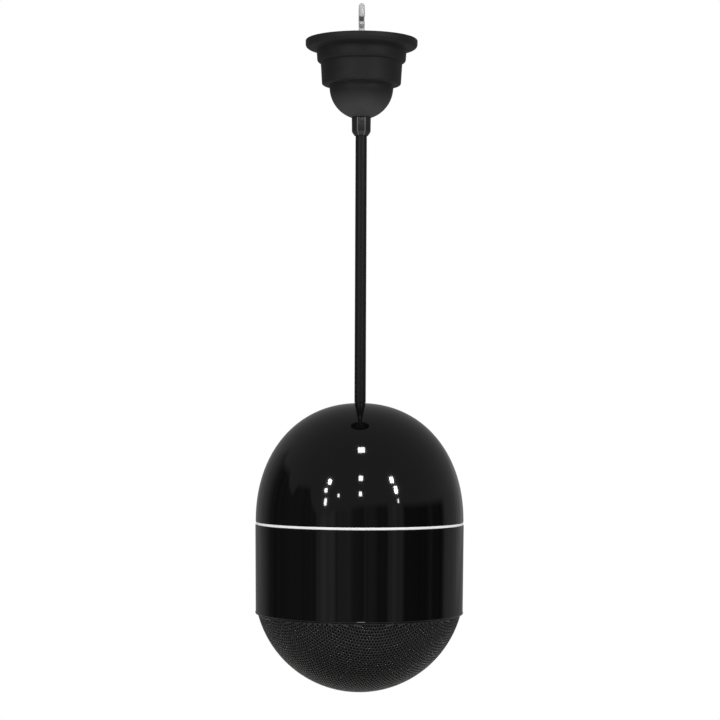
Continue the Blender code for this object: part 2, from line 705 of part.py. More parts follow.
def make_collar():
    """Lock collar that holds the canopy up on the rod, and its grub screw at the back."""
    bottom = COLLAR_TOP - COLLAR_LENGTH
    corner = 1 / math.cos(math.pi / COLLAR_SIDES)
    profile = [
        (0.0, COLLAR_TOP),
        (COLLAR_TOP_FLAT * corner, COLLAR_TOP),
        (COLLAR_BOTTOM_FLAT * corner, bottom + COLLAR_NOSE),
        (COLLAR_NOSE_R * corner, bottom),
        (0.0, bottom),
    ]
    collar = turned("lock_collar", profile, gloss_black, COLLAR_SIDES)
    collar.rotation_euler = (0, 0, math.pi / COLLAR_SIDES)
    soften = collar.modifiers.new("edges", "BEVEL")
    soften.width = COLLAR_EDGE
    soften.segments = 2
    soften.limit_method = "ANGLE"
    soften.angle_limit = math.radians(30)
    middle = (COLLAR_TOP + bottom) / 2
    bore = rod_cutter("collar_bore", ROD_R + GAP, 2 * COLLAR_LENGTH, (0, 0, middle), "Z", SMALL)
    boolean(collar, bore)
    grub_z = COLLAR_TOP - GRUB_DROP
    hole = rod_cutter(
        "grub_hole", GRUB_R + GAP, 2 * COLLAR_TOP_FLAT, (0, COLLAR_TOP_FLAT, grub_z), "Y", TINY
    )
    boolean(collar, hole)
    inner = ROD_R + 2 * GAP
    outer = COLLAR_BOTTOM_FLAT
    grub = rod_cutter(
        "grub_shape", GRUB_R, outer - inner, (0, (outer + inner) / 2, grub_z), "Y", TINY
    )
    screw = place("collar_grub_screw", grub.data.copy(), zinc)
    socket = rod_cutter("grub_socket", GRUB_R * 0.5, GRUB_R, (0, outer, grub_z), "Y", 6)
    boolean(screw, socket)


def make_rod(pin_hole):
    """Suspension rod: a steel tube with a cross-pin hole, a cable slot and a threaded spigot."""
    shoulder = DOME_TOP + GAP
    profile = [
        (ROD_R, ROD_TOP),
        (ROD_R, shoulder),
        (SPIGOT_R, shoulder),
        (SPIGOT_R, ROD_BOTTOM),
        (ROD_BORE_R, ROD_BOTTOM),
        (ROD_BORE_R, ROD_TOP),
    ]
    rod = turned("suspension_rod", profile, satin_black, SMALL)
    boolean(rod, pin_hole)
    slot_top = RIM_Z - SLOT_TOP_DROP
    slot = place(
        "cable_slot",
        box_mesh(
            "cable_slot", (0, -SLOT_WIDTH / 2, slot_top - SLOT_LENGTH), (2 * ROD_R, SLOT_WIDTH / 2, slot_top)
        ),
        None,
        cutters,
    )
    boolean(rod, slot)


def make_cable(block_x, block_bottom):
    """Two-core cable from the terminal block, in at the rod's slot, down to the driver's strip."""
    route = [
        (block_x, 0, block_bottom - GAP),
        (block_x - 0.0003, 0, RIM_Z - 0.0225),
        (block_x - 0.0035, 0, RIM_Z - 0.0310),
        (0.0060, 0, RIM_Z - 0.0388),
        (0.0016, 0, RIM_Z - 0.0455),
        (0.0, 0, RIM_Z - 0.0560),
        (0.0, 0, RIM_Z - 0.0700),
        (0.0, 0, ROD_BOTTOM),
        (0.0, 0, ROD_BOTTOM - 0.0140),
        (0.0030, 0, ROD_BOTTOM - 0.0290),
        (0.0130, 0, ROD_BOTTOM - 0.0480),
        (0.0270, 0, ROD_BOTTOM - 0.0640),
        (0.0400, 0, ROD_BOTTOM - 0.0800),
        (STRIP_X - 0.0007, 0, ROD_BOTTOM - 0.0980),
        (STRIP_X, 0, STRIP_TOP + 0.0140),
        (STRIP_X, 0, STRIP_TOP + GAP),
    ]
    wire("speaker_cable", smooth_route(route, 0.0100), CABLE_R, sheath, 1)


def dome_radius(height, radius, rise):
    """Radius of the dome's curve at this height above its edge."""
    share = min(1.0, max(0.0, height / rise))
    return radius * (1 - share**DOME_FULLNESS) ** (1 / DOME_FULLNESS)


def make_dome():
    """Dome shell: the upper half of the housing, with a hub for the rod and four screw bosses."""
    hole = SPIGOT_R + GAP
    hub_z = DOME_TOP - HUB_THICKNESS
    steps = 12
    outer = [(hole, DOME_TOP)]
    for i in range(1, steps + 1):
        lean = math.pi / 2 * (1 - i / steps) ** 1.15
        height = DOME_RISE * math.sin(lean) ** (2 / DOME_FULLNESS)
        outer.append((dome_radius(height, DOME_R, DOME_RISE), DOME_EDGE + height))
    inner = [(DOME_R - SHELL_WALL, DOME_EDGE)]
    inner_rise = DOME_RISE - SHELL_WALL
    inner_r = DOME_R - SHELL_WALL
    for share in (0.20, 0.40, 0.58, 0.73, 0.85):
        height = inner_rise * share
        inner.append((dome_radius(height, inner_r, inner_rise), DOME_EDGE + height))
    hub_edge = inner_rise * (1 - (HUB_R / inner_r) ** DOME_FULLNESS) ** (1 / DOME_FULLNESS)
    inner += [(HUB_R, DOME_EDGE + hub_edge), (HUB_R, hub_z), (hole, hub_z)]
    dome = turned("dome_shell", outer + inner, gloss_black, ROUND)
    boss_bottom = JOINT_Z + GAP / 2
    boss_top = DOME_EDGE + BOSS_TOP
    for i, (x, y, _) in enumerate(around(SCREW_COUNT, BOSS_CIRCLE_R, 45), 1):
        boss = rod_cutter(
            f"boss_{i}", BOSS_R, boss_top - boss_bottom, (x, y, (boss_top + boss_bottom) / 2), "Z", 12
        )
        boolean(dome, boss, "UNION")
        pilot_depth = SHELL_SCREW_LENGTH - POST_WEB + 2 * GAP
        pilot = rod_cutter(
            f"pilot_{i}", SHELL_SCREW_R + GAP, 2 * pilot_depth, (x, y, boss_bottom), "Z", TINY
        )
        boolean(dome, pilot)


def make_rod_fixing():
    """Washer and nut that clamp the rod in the dome, and the grommet that guards the cable."""
    spigot_hole = SPIGOT_R + GAP
    tube("rod_washer", WASHER_R, spigot_hole, WASHER_TOP, WASHER_TOP - WASHER_SHEET, zinc, MEDIUM)
    hexagon("rod_nut", NUT_FLATS, NUT_TOP, NUT_TOP - NUT_HEIGHT, spigot_hole, zinc)
    sleeve_r = ROD_BORE_R - GAP
    hole = sleeve_r - GROMMET_WALL
    head_top = ROD_BOTTOM - GAP
    profile = [
        (sleeve_r, ROD_BOTTOM + GROMMET_SLEEVE),
        (sleeve_r, head_top),
        (GROMMET_R, head_top),
        (GROMMET_R, head_top - GROMMET_HEAD),
        (hole, head_top - GROMMET_HEAD),
        (hole, ROD_BOTTOM + GROMMET_SLEEVE),
    ]
    turned("cable_grommet", profile, rubber, SMALL)


def make_trim_ring():
    """Bright ring clamped between the two shells."""
    bottom = RING_TOP - RING_HEIGHT
    profile = [
        (RING_R - GAP, RING_TOP),
        (RING_R, RING_TOP - GAP),
        (RING_R, bottom + GAP),
        (RING_R - GAP, bottom),
        (RING_INNER_R, bottom),
        (RING_INNER_R, RING_TOP),
    ]
    turned("trim_ring", profile, bright_metal, ROUND)


def make_lower_shell(screw_holes):
    """Lower shell: wall, baffle for the driver and four screw posts in one moulding."""
    lip_top = LOWER_EDGE + LIP_HEIGHT
    inner_top = LOWER_TOP_R - SHELL_WALL
    inner_bottom = LOWER_BOTTOM_R - SHELL_WALL
    profile = [
        (LOWER_TOP_R - EDGE_ROUND, LOWER_TOP),
        (LOWER_TOP_R, LOWER_TOP - EDGE_ROUND),
        (LOWER_BOTTOM_R, lip_top),
        (LOWER_BOTTOM_R + LIP_FLARE, lip_top - LIP_HEIGHT * 0.3),
        (LOWER_BOTTOM_R + LIP_FLARE, LOWER_EDGE + LIP_HEIGHT * 0.2),
        (LOWER_BOTTOM_R, LOWER_EDGE),
        (inner_bottom, LOWER_EDGE),
        (inner_bottom, BAFFLE_FRONT),
        (DRIVER_CUTOUT_R, BAFFLE_FRONT),
        (DRIVER_CUTOUT_R, BAFFLE_BACK),
        (inner_bottom, BAFFLE_BACK),
        (inner_top, LOWER_TOP),
    ]
    shell = turned("lower_shell", profile, gloss_black, ROUND)
    post_bottom = (BAFFLE_FRONT + BAFFLE_BACK) / 2
    for i, (x, y, _) in enumerate(around(SCREW_COUNT, BOSS_CIRCLE_R, 45), 1):
        post = rod_cutter(
            f"post_{i}", BOSS_R, POST_TOP - post_bottom, (x, y, (POST_TOP + post_bottom) / 2), "Z", 12
        )
        boolean(shell, post, "UNION")
        well_bottom = BAFFLE_FRONT - BAFFLE_SHEET
        well = rod_cutter(
            f"post_well_{i}",
            SHELL_SCREW_HEAD_R + GAP,
            SCREW_SEAT - well_bottom,
            (x, y, (SCREW_SEAT + well_bottom) / 2),
            "Z",
            12,
        )
        boolean(shell, well)
        hole = rod_cutter(
            f"post_hole_{i}", SHELL_SCREW_R + GAP, 4 * POST_WEB, (x, y, POST_TOP), "Z", TINY
        )
        boolean(shell, hole)
    for hole in screw_holes:
        boolean(shell, hole)
    pattern = screw_mesh(
        "shell_screw_pattern",
        SHELL_SCREW_HEAD_R,
        SHELL_SCREW_HEAD,
        SHELL_SCREW_R,
        SHELL_SCREW_LENGTH,
        zinc,
    )
    seats = [(x, y, SCREW_SEAT - GAP) for x, y, _ in around(SCREW_COUNT, BOSS_CIRCLE_R, 45)]
    copies("shell_screw", pattern, seats, flip=True)


def on_sphere(reach):
    """Distance from the axis and height of the grille this far over its curve from the bottom."""
    lean = reach / GRILLE_SPHERE_R
    return GRILLE_SPHERE_R * math.sin(lean), GRILLE_CENTRE - GRILLE_SPHERE_R * math.cos(lean)


def make_grille():
    """Grille: a mesh pressed to a dome, with a plain border and a band pushed into the shell."""
    bm = bmesh.new()
    bmesh.ops.create_circle(bm, cap_ends=True, segments=ROUND, radius=LATTICE_REACH * 1.5)
    lines = math.ceil(LATTICE_REACH / GRILLE_PITCH) + 1
    for normal in (Vector((1, 1, 0)).normalized(), Vector((1, -1, 0)).normalized()):
        for i in range(-lines, lines + 1):
            everything = bm.verts[:] + bm.edges[:] + bm.faces[:]
            cut = normal * (i + 0.5) * GRILLE_PITCH
            bmesh.ops.bisect_plane(bm, geom=everything, dist=1e-7, plane_co=cut, plane_no=normal)
    limit = LATTICE_REACH - GRILLE_WIRE
    outside = [f for f in bm.faces if max(v.co.length for v in f.verts) > limit]
    bmesh.ops.delete(bm, geom=outside, context="FACES")
    cells = list(bm.faces)
    corners = {v for e in bm.edges if e.is_boundary for v in e.verts}
    bmesh.ops.inset_individual(bm, faces=cells, thickness=GRILLE_WIRE / 2)
    bmesh.ops.delete(bm, geom=cells, context="FACES_ONLY")
    jagged = [e for e in bm.edges if e.is_boundary and corners.issuperset(e.verts)]
    rim = bmesh.ops.create_circle(bm, segments=ROUND, radius=LATTICE_REACH)["verts"]
    rim_edges = list({e for v in rim for e in v.link_edges})
    bmesh.ops.triangle_fill(bm, use_beauty=True, edges=jagged + rim_edges, normal=(0, 0, 1))
    for vert in bm.verts:
        flat = vert.co.to_2d()
        radius, height = on_sphere(flat.length)
        out = flat.normalized() * radius
        vert.co = (out.x, out.y, height)
    loop = rim_edges
    rings = [
        (GRILLE_EDGE_R, GRILLE_EDGE),
        (GRILLE_BAND_R, GRILLE_EDGE),
        (GRILLE_BAND_R, GRILLE_TOP),
    ]
    for radius, height in rings:
        grown = bmesh.ops.extrude_edge_only(bm, edges=loop)["geom"]
        for vert in (v for v in grown if isinstance(v, bmesh.types.BMVert)):
            out = vert.co.to_2d().normalized() * radius
            vert.co = (out.x, out.y, height)
        loop = [e for e in grown if isinstance(e, bmesh.types.BMEdge)]
    bmesh.ops.recalc_face_normals(bm, faces=bm.faces)
    mesh = bpy.data.meshes.new("grille")
    bm.to_mesh(mesh)
    bm.free()
    grille = place("grille", mesh, mesh_black)
    sheet = grille.modifiers.new("sheet", "SOLIDIFY")
    sheet.thickness = GRILLE_SHEET
    sheet.offset = -1

    outer_r = GRILLE_SPHERE_R - GRILLE_SHEET - CLOTH_SETBACK
    inner_r = outer_r - CLOTH_SHEET
    edge = GRILLE_EDGE - GRILLE_SHEET - GAP
    start = math.degrees(math.asin((GRILLE_CENTRE - edge) / outer_r))
    profile = [
        *arc(0, GRILLE_CENTRE, outer_r, -start, -90, 6)[:-1],
        (0.0, GRILLE_CENTRE - outer_r),
        (0.0, GRILLE_CENTRE - inner_r),
        *arc(0, GRILLE_CENTRE, inner_r, -90, -start, 6)[1:],
    ]
    turned("grille_cloth", profile, black_cloth)


def make_driver_frame():
    """Gasket, basket and the four screws that hold the driver to the baffle."""
    holes = []
    for i, (x, y, _) in enumerate(around(SCREW_COUNT, DRIVER_SCREW_CIRCLE_R), 1):
        middle = (BAFFLE_BACK + FLANGE_FRONT) / 2
        length = 2 * (BAFFLE_BACK - FLANGE_FRONT)
        holes.append(
            rod_cutter(f"driver_hole_{i}", DRIVER_SCREW_R + GAP, length, (x, y, middle), "Z", TINY)
        )
    gasket = tube(
        "driver_gasket", FLANGE_OUTER_R, FLANGE_INNER_R + GAP, BAFFLE_FRONT - GAP, GASKET_FRONT, rubber, MEDIUM
    )
    profile = [
        (BASKET_TOP_R, BASKET_BACK),
        (SHELF_INNER_R + BASKET_SHEET, SHELF_BACK),
        (SHELF_OUTER_R, SHELF_BACK),
        (FLANGE_INNER_R, FLANGE_BACK),
        (FLANGE_OUTER_R, FLANGE_BACK),
        (FLANGE_OUTER_R, FLANGE_FRONT),
        (FLANGE_INNER_R - BASKET_SHEET, FLANGE_FRONT),
        (SHELF_OUTER_R - BASKET_SHEET, SHELF_FRONT),
        (SHELF_INNER_R, SHELF_FRONT),
        (BASKET_TOP_R - BASKET_SHEET, BASKET_BACK - BASKET_SHEET),
        (PLATE_BORE_R, BASKET_BACK - BASKET_SHEET),
        (PLATE_BORE_R, BASKET_BACK),
    ]
    basket = turned("basket", profile, satin_black, MEDIUM)
    middle_r = (SHELF_OUTER_R + FLANGE_INNER_R) / 2
    middle_z = (SHELF_FRONT + FLANGE_BACK) / 2
    for i, (x, y, angle) in enumerate(around(WINDOW_COUNT, middle_r, 30), 1):
        half = (SHELF_RISE / 2, WINDOW_WIDTH / 2, WINDOW_HEIGHT / 2)
        window = place(
            f"window_{i}", box_mesh(f"window_{i}", [-h for h in half], list(half)), None, cutters
        )
        window.location = (x, y, middle_z)
        window.rotation_euler = (0, 0, angle)
        boolean(basket, window)
    for hole in holes:
        boolean(gasket, hole)
        boolean(basket, hole)
    pattern = screw_mesh(
        "driver_screw_pattern",
        DRIVER_SCREW_HEAD_R,
        DRIVER_SCREW_HEAD,
        DRIVER_SCREW_R,
        DRIVER_SCREW_LENGTH,
        zinc,
    )
    seats = [(x, y, FLANGE_FRONT - GAP) for x, y, _ in around(SCREW_COUNT, DRIVER_SCREW_CIRCLE_R)]
    copies("driver_screw", pattern, seats, flip=True)
    return holes


def make_suspension():
    """Surround and spider, the two soft rings that centre the cone."""
    roll_mid = (ROLL_OUTER_R + ROLL_INNER_R) / 2
    roll_r = (ROLL_OUTER_R - ROLL_INNER_R) / 2
    rim_r = DRIVER_SCREW_CIRCLE_R - DRIVER_SCREW_HEAD_R - GAP
    lap = ROLL_INNER_R - ROLL_LAP
    back = ROLL_PLANE + RUBBER
    front_arc = [
        (roll_mid + roll_r * math.cos(a), ROLL_PLANE - ROLL_DEPTH * math.sin(a))
        for a in (math.pi * i / 6 for i in range(7))
    ]
    back_arc = [
        (roll_mid + (roll_r - RUBBER) * math.cos(a), back - ROLL_DEPTH * math.sin(a))
        for a in (math.pi * (6 - i) / 6 for i in range(7))
    ]
    lap_front = CONE_FRONT - GAP - RUBBER
    lap_back = CONE_FRONT - GAP
    profile = [
        (rim_r, back),
        (rim_r, ROLL_PLANE),
        *front_arc[:-1],
        (ROLL_INNER_R, lap_front),
        (lap, lap_front),
        (lap, lap_back),
        (ROLL_INNER_R + RUBBER, lap_back),
        *back_arc[1:],
    ]
    turned("surround", profile, rubber, MEDIUM)

    outer_r = SHELF_OUTER_R - BASKET_SHEET - 4 * GAP
    inner_r = FORMER_R + GAP
    back_z = SHELF_FRONT - GAP
    flat_r = SHELF_INNER_R + BASKET_SHEET
    steps = 2 * SPIDER_WAVES
    top = []
    for i in range(steps + 1):
        r = flat_r + (inner_r - flat_r) * i / steps
        top.append((r, back_z - SPIDER_WAVE * (0.5 - 0.5 * math.cos(math.pi * i))))
    bottom = [(r, z - SPIDER_SHEET) for r, z in reversed(top)]
    profile = [(outer_r, back_z), (outer_r, back_z - SPIDER_SHEET)]
    turned("spider", [profile[0], profile[1], *reversed(bottom), *reversed(top)], spider_cloth, MEDIUM)


def make_cone():
    """Cone, dust cap and voice coil, which move together along the axis."""
    sheet = CONE_SHEET
    slope = math.atan2(CONE_DEPTH, CONE_EDGE_R - CONE_NECK_R)
    rise = sheet / math.cos(slope)
    back = []
    front = []
    for i in range(5):
        t = i / 4
        r = CONE_NECK_R + (CONE_EDGE_R - CONE_NECK_R) * t
        z = CONE_NECK_Z - CONE_DEPTH * t - CONE_BOW * math.sin(math.pi * t)
        back.append((r, z + rise))
        front.append((r, z))
    turned("cone", [*back, *reversed(front)], paper, MEDIUM)

    share = (CAP_R - CONE_NECK_R) / (CONE_EDGE_R - CONE_NECK_R)
    cap_z = CONE_NECK_Z - CONE_DEPTH * share - CONE_BOW * math.sin(math.pi * share) - 2 * GAP
    ball_r = (CAP_R**2 + CAP_DEPTH**2) / (2 * CAP_DEPTH)
    cap_centre = cap_z - CAP_DEPTH + ball_r
    open_angle = math.degrees(math.asin((cap_centre - cap_z) / ball_r))
    inner_r = ball_r - sheet
    profile = [
        *arc(0, cap_centre, ball_r, -open_angle, -90, 4)[:-1],
        (0.0, cap_centre - ball_r),
        (0.0, cap_centre - inner_r),
        *arc(0, cap_centre, inner_r, -90, -open_angle, 4)[1:],
    ]
    turned("dust_cap", profile, paper, MEDIUM)

    former_back = FORMER_FRONT + FORMER_LENGTH
    tube(
        "coil_former", FORMER_R, FORMER_R - FORMER_SHEET, former_back, FORMER_FRONT, kapton, MEDIUM
    )
    plate_middle = (TOP_PLATE_FRONT + TOP_PLATE_BACK) / 2
    tube(
        "coil_winding",
        WINDING_R,
        FORMER_R + GAP,
        plate_middle + WINDING_LENGTH / 2,
        plate_middle - WINDING_LENGTH / 2,
        copper,
        MEDIUM,
    )


def make_motor():
    """Top plate, ring magnet and back plate with its pole: the still part of the driver's motor."""
    tube("top_plate", TOP_PLATE_R, PLATE_BORE_R, TOP_PLATE_BACK, TOP_PLATE_FRONT, zinc, MEDIUM)
    tube("magnet", MAGNET_R, MAGNET_BORE_R, MAGNET_BACK, MAGNET_FRONT, ferrite, MEDIUM)
    plate_back = BACK_PLATE_FRONT + BACK_PLATE_SHEET
    profile = [
        (0.0, plate_back),
        (BACK_PLATE_R - EDGE_ROUND, plate_back),
        (BACK_PLATE_R, plate_back - EDGE_ROUND),
        (BACK_PLATE_R, BACK_PLATE_FRONT),
        (POLE_R, BACK_PLATE_FRONT),
        (POLE_R, TOP_PLATE_FRONT),
        (0.0, TOP_PLATE_FRONT),
    ]
    turned("back_plate", profile, zinc, MEDIUM)


def make_strip():
    """Terminal strip on the basket's shelf, with two solder tags."""
    bottom = SHELF_BACK + GAP
    strip = box_mesh(
        "terminal_strip",
        (STRIP_X - STRIP_WIDTH / 2, -STRIP_LENGTH / 2, bottom),
        (STRIP_X + STRIP_WIDTH / 2, STRIP_LENGTH / 2, STRIP_TOP),
    )
    place("terminal_strip", strip, phenolic)
    for i, side in enumerate((-0.5, 0.5), 1):
        y = side * TAG_PITCH
        low = (STRIP_X - TAG_WIDTH / 2, y - TAG_SHEET / 2, STRIP_TOP + GAP)
        high = (STRIP_X + TAG_WIDTH / 2, y + TAG_SHEET / 2, STRIP_TOP + GAP + TAG_HEIGHT)
        place(f"solder_tag_{i}", box_mesh(f"solder_tag_{i}", low, high), brass)


make_hook()
pin_hole_cutter = make_hook_fittings()
block_centre, block_underside = make_terminals()
make_canopy()
make_collar()
make_rod(pin_hole_cutter)
make_cable(block_centre, block_underside)
make_dome()
make_rod_fixing()
make_trim_ring()
driver_holes = make_driver_frame()
make_lower_shell(driver_holes)
make_grille()
make_suspension()
make_cone()
make_motor()
make_strip()
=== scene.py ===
"""Pendant speaker: a two-part capsule housing hung from a ceiling canopy on a steel rod.

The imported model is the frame. Each section dresses one of its pieces, in order of assembly,
from the hook in the ceiling down to the driver behind the grille. Metres, +Z up, viewer at -Y.
"""

import math

import bmesh
import bpy
from mathutils import Matrix, Vector


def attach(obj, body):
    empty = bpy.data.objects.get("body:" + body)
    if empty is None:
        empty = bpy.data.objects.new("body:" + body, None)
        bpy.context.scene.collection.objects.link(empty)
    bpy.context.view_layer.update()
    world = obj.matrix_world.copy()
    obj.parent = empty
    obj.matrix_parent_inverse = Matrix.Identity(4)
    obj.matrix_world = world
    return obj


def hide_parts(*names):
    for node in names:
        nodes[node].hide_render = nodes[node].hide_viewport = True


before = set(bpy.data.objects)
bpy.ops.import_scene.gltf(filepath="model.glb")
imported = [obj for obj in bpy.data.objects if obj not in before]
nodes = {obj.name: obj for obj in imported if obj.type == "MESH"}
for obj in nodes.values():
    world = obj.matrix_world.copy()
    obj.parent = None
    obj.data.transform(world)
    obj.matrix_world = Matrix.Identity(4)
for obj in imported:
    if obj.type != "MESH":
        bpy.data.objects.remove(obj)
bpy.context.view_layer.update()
scene = bpy.context.scene
scene.view_settings.view_transform = "Standard"

# ---------------------------------------------------------------------------------------------
# Viewpoint: a long lens two metres in front, level, at the height of the rod's lower half. It
# is shifted up a little and rolled a quarter of a degree.
VIEW_DISTANCE = 2.09
VIEW_HEIGHT = -0.396
VIEW_LENS = 104.5
VIEW_SENSOR = 36.0
VIEW_RISE = 0.0629
VIEW_ASIDE = -0.0001
VIEW_ROLL = math.radians(-0.245)

viewpoint = bpy.data.objects.new("viewpoint", bpy.data.cameras.new("viewpoint"))
scene.collection.objects.link(viewpoint)
scene.camera = viewpoint
viewpoint.data.lens = VIEW_LENS
viewpoint.data.sensor_width = VIEW_SENSOR
viewpoint.data.shift_x = VIEW_ASIDE
viewpoint.data.shift_y = VIEW_RISE
viewpoint.location = (0.0, -VIEW_DISTANCE, VIEW_HEIGHT)
viewpoint.rotation_euler = (math.pi / 2, VIEW_ROLL, 0.0)

# ---------------------------------------------------------------------------------------------
# Studio: plain daylight all round on the speaker and white behind it. The gloss black shells
# mirror a dim room in front of it, with a grey ceiling, a few tall pale doors and a floor.
DAYLIGHT_BELOW = 1.15
DAYLIGHT_LOW = 0.80
DAYLIGHT_HIGH = 0.92
CEILING_LIGHT = 0.23
CEILING_BLUR = 0.04
FLOOR_LIGHT = 0.19
FLOOR_FRONT = 0.68
FLOOR_REACH = 6.7
FLOOR_BLUR = 0.06
FLOOR_BELOW = 1.0
BELOW_START = -0.45
BELOW_END = -0.65
BELOW_AHEAD = 0.40
STREAKS_ROUND = 70.0
STREAK_DARK = 0.4
STREAK_LIGHT = 1.6

# Brightness of the walls, and the height at which the ceiling starts over them, by degrees from
# the viewer's side, positive to the right.
WALL_LIGHT = [
    (-180, 0.23),
    (-158, 0.24),
    (-138, 0.20),
    (-127, 0.15),
    (-118, 0.08),
    (-110, 0.04),
    (-72, 0.08),
    (-49, 0.08),
    (-45, 0.30),
    (-29, 0.32),
    (-25, 0.14),
    (-21, 0.20),
    (-8, 0.20),
    (-5, 0.09),
    (3, 0.09),
    (6, 0.14),
    (16, 0.14),
    (19, 0.07),
    (30, 0.07),
    (33, 0.24),
    (47, 0.24),
    (50, 0.05),
    (78, 0.03),
    (84, 0.08),
    (89, 0.04),
    (102, 0.02),
    (108, 0.20),
    (125, 0.20),
    (142, 0.27),
    (154, 0.33),
    (180, 0.28),
]
WALL_TOP = [
    (-180, 0.20),
    (-150, 0.22),
    (-137, 0.36),
    (-126, 0.50),
    (-118, 0.42),
    (-98, 0.41),
    (-91, 0.30),
    (-82, 0.22),
    (-79, 0.34),
    (-60, 0.36),
    (-55, 0.18),
    (-49, 0.06),
    (-30, 0.10),
    (0, 0.18),
    (40, 0.19),
    (60, 0.16),
    (104, 0.13),
    (112, 0.17),
    (180, 0.14),
]


def add_node(tree, kind, inputs=(), **settings):
    """Adds a shader node; an input is a number, a colour, another node or its output."""
    node = tree.nodes.new("ShaderNode" + kind)
    for key, value in settings.items():
        setattr(node, key, value)
    for key, value in dict(inputs).items():
        if isinstance(value, bpy.types.Node):
            value = value.outputs[0]
        if isinstance(value, bpy.types.NodeSocket):
            tree.links.new(value, node.inputs[key])
        else:
            node.inputs[key].default_value = value
    return node


def maths(tree, operation, *parts):
    """One sum on shader values."""
    return add_node(tree, "Math", dict(enumerate(parts)), operation=operation)


def mixed(tree, factor, first, second):
    """Goes from the first value to the second as the factor goes from 0 to 1."""
    return add_node(tree, "Mix", {0: factor, 2: first, 3: second}, data_type="FLOAT")


def fade(tree, value, start, end):
    """0 up to the start and 1 from the end on."""
    return add_node(tree, "MapRange", {"Value": value, "From Min": start, "From Max": end})


def between(tree, factor, low, high):
    """Stretches a 0 to 1 factor from low to high."""
    return add_node(tree, "MapRange", {"Value": factor, "To Min": low, "To Max": high})


def add_steps(tree, factor, stops):
    """A grey ramp over a 0 to 1 factor, through (place, brightness) stops."""
    ramp = add_node(tree, "ValToRGB", {"Fac": factor})
    points = ramp.color_ramp.elements
    for place, _ in stops[2:]:
        points.new(place)
    for point, (place, light) in zip(points, stops):
        point.position = place
        point.color = (light, light, light, 1.0)
    return ramp


def round_room(stops):
    """The stops' degrees as shares of a full turn, with the viewer at a half."""
    return [(0.5 + degrees / 360, light) for degrees, light in stops]


room = bpy.data.worlds.new("studio")
scene.world = room
room.use_nodes = True
sky = room.node_tree
sky.nodes.clear()
way = add_node(sky, "SeparateXYZ", {0: add_node(sky, "TexCoord").outputs["Generated"]})
to_right, to_back, upward = way.outputs
to_front = maths(sky, "MULTIPLY", to_back, -1.0)
turn = maths(sky, "ARCTAN2", to_right, to_front)
share = maths(sky, "MULTIPLY_ADD", turn, 1 / math.tau, 0.5)

streaks = add_node(
    sky,
    "TexNoise",
    {"W": share, "Scale": STREAKS_ROUND, "Detail": 3.0, "Roughness": 0.6},
    noise_dimensions="1D",
)
streaks = between(sky, streaks, STREAK_DARK, STREAK_LIGHT)
walls = maths(sky, "MULTIPLY", add_steps(sky, share, round_room(WALL_LIGHT)), streaks)
above = maths(sky, "SUBTRACT", upward, add_steps(sky, share, round_room(WALL_TOP)))
overhead = fade(sky, above, -CEILING_BLUR, CEILING_BLUR)
indoors = mixed(sky, overhead, walls, CEILING_LIGHT)

down = maths(sky, "MULTIPLY", upward, -FLOOR_REACH)
within = maths(sky, "SUBTRACT", down, maths(sky, "ABSOLUTE", to_right))
within = fade(sky, within, -FLOOR_BLUR, FLOOR_BLUR)
behind = maths(sky, "MULTIPLY_ADD", upward, -FLOOR_FRONT, to_back)
behind = fade(sky, behind, -FLOOR_BLUR, FLOOR_BLUR)
on_floor = maths(sky, "MULTIPLY", within, behind)
mirrored = mixed(sky, on_floor, indoors, FLOOR_LIGHT)

steep = fade(sky, upward, BELOW_START, BELOW_END)
ahead = fade(sky, to_front, 0.0, BELOW_AHEAD)
mirrored = mixed(sky, maths(sky, "MULTIPLY", steep, ahead), mirrored, FLOOR_BELOW)

height = maths(sky, "MULTIPLY_ADD", upward, 0.5, 0.5)
open_sky = add_steps(
    sky, height, [(0.1, DAYLIGHT_BELOW), (0.5, DAYLIGHT_LOW), (0.95, DAYLIGHT_HIGH)]
)
rays = add_node(sky, "LightPath").outputs
daylight = mixed(sky, rays["Is Glossy Ray"], open_sky, mirrored)
seen = maths(sky, "MAXIMUM", rays["Is Camera Ray"], rays["Is Transmission Ray"])
light = mixed(sky, seen, daylight, 1.0)
glow = add_node(sky, "Background", {"Color": (1, 1, 1, 1), "Strength": light})
add_node(sky, "OutputWorld", {"Surface": glow})

# Ceiling panels, turned to the dome: across and along the room, width, length and glow. The
# first two, over the speaker, light it; the far ones only show in its gloss.
PANEL_LEVEL = 1.95
PANELS = [
    (0.07, -1.25, 0.30, 0.30, 33),
    (0.09, -3.70, 0.32, 0.34, 33),
    (0.10, -6.74, 0.36, 0.44, 33),
    (-2.70, -3.60, 0.27, 0.34, 110),
    (-4.00, -4.86, 0.24, 0.32, 110),
    (-3.05, -6.85, 0.24, 0.34, 33),
    (-6.90, -8.70, 0.50, 1.00, 32),
    (2.72, -3.26, 0.28, 0.40, 110),
    (4.20, -4.56, 0.34, 0.62, 90),
    (7.30, -7.60, 0.22, 0.50, 33),
]
LIGHTING_PANELS = 2
DOME_MIDDLE = Vector((0.0, -0.08, -0.44))

for number, (across, along, width, length, glow) in enumerate(PANELS, 1):
    name = f"ceiling_panel_{number}"
    panel = bpy.data.objects.new(name, bpy.data.lights.new(name, "AREA"))
    scene.collection.objects.link(panel)
    panel.data.shape = "RECTANGLE"
    panel.data.size = width
    panel.data.size_y = length
    panel.data.energy = glow * math.pi * width * length
    panel.location = (across, along, PANEL_LEVEL)
    panel.rotation_euler = (DOME_MIDDLE - panel.location).to_track_quat("-Z", "Y").to_euler()
    panel.visible_camera = False
    panel.visible_diffuse = number <= LIGHTING_PANELS

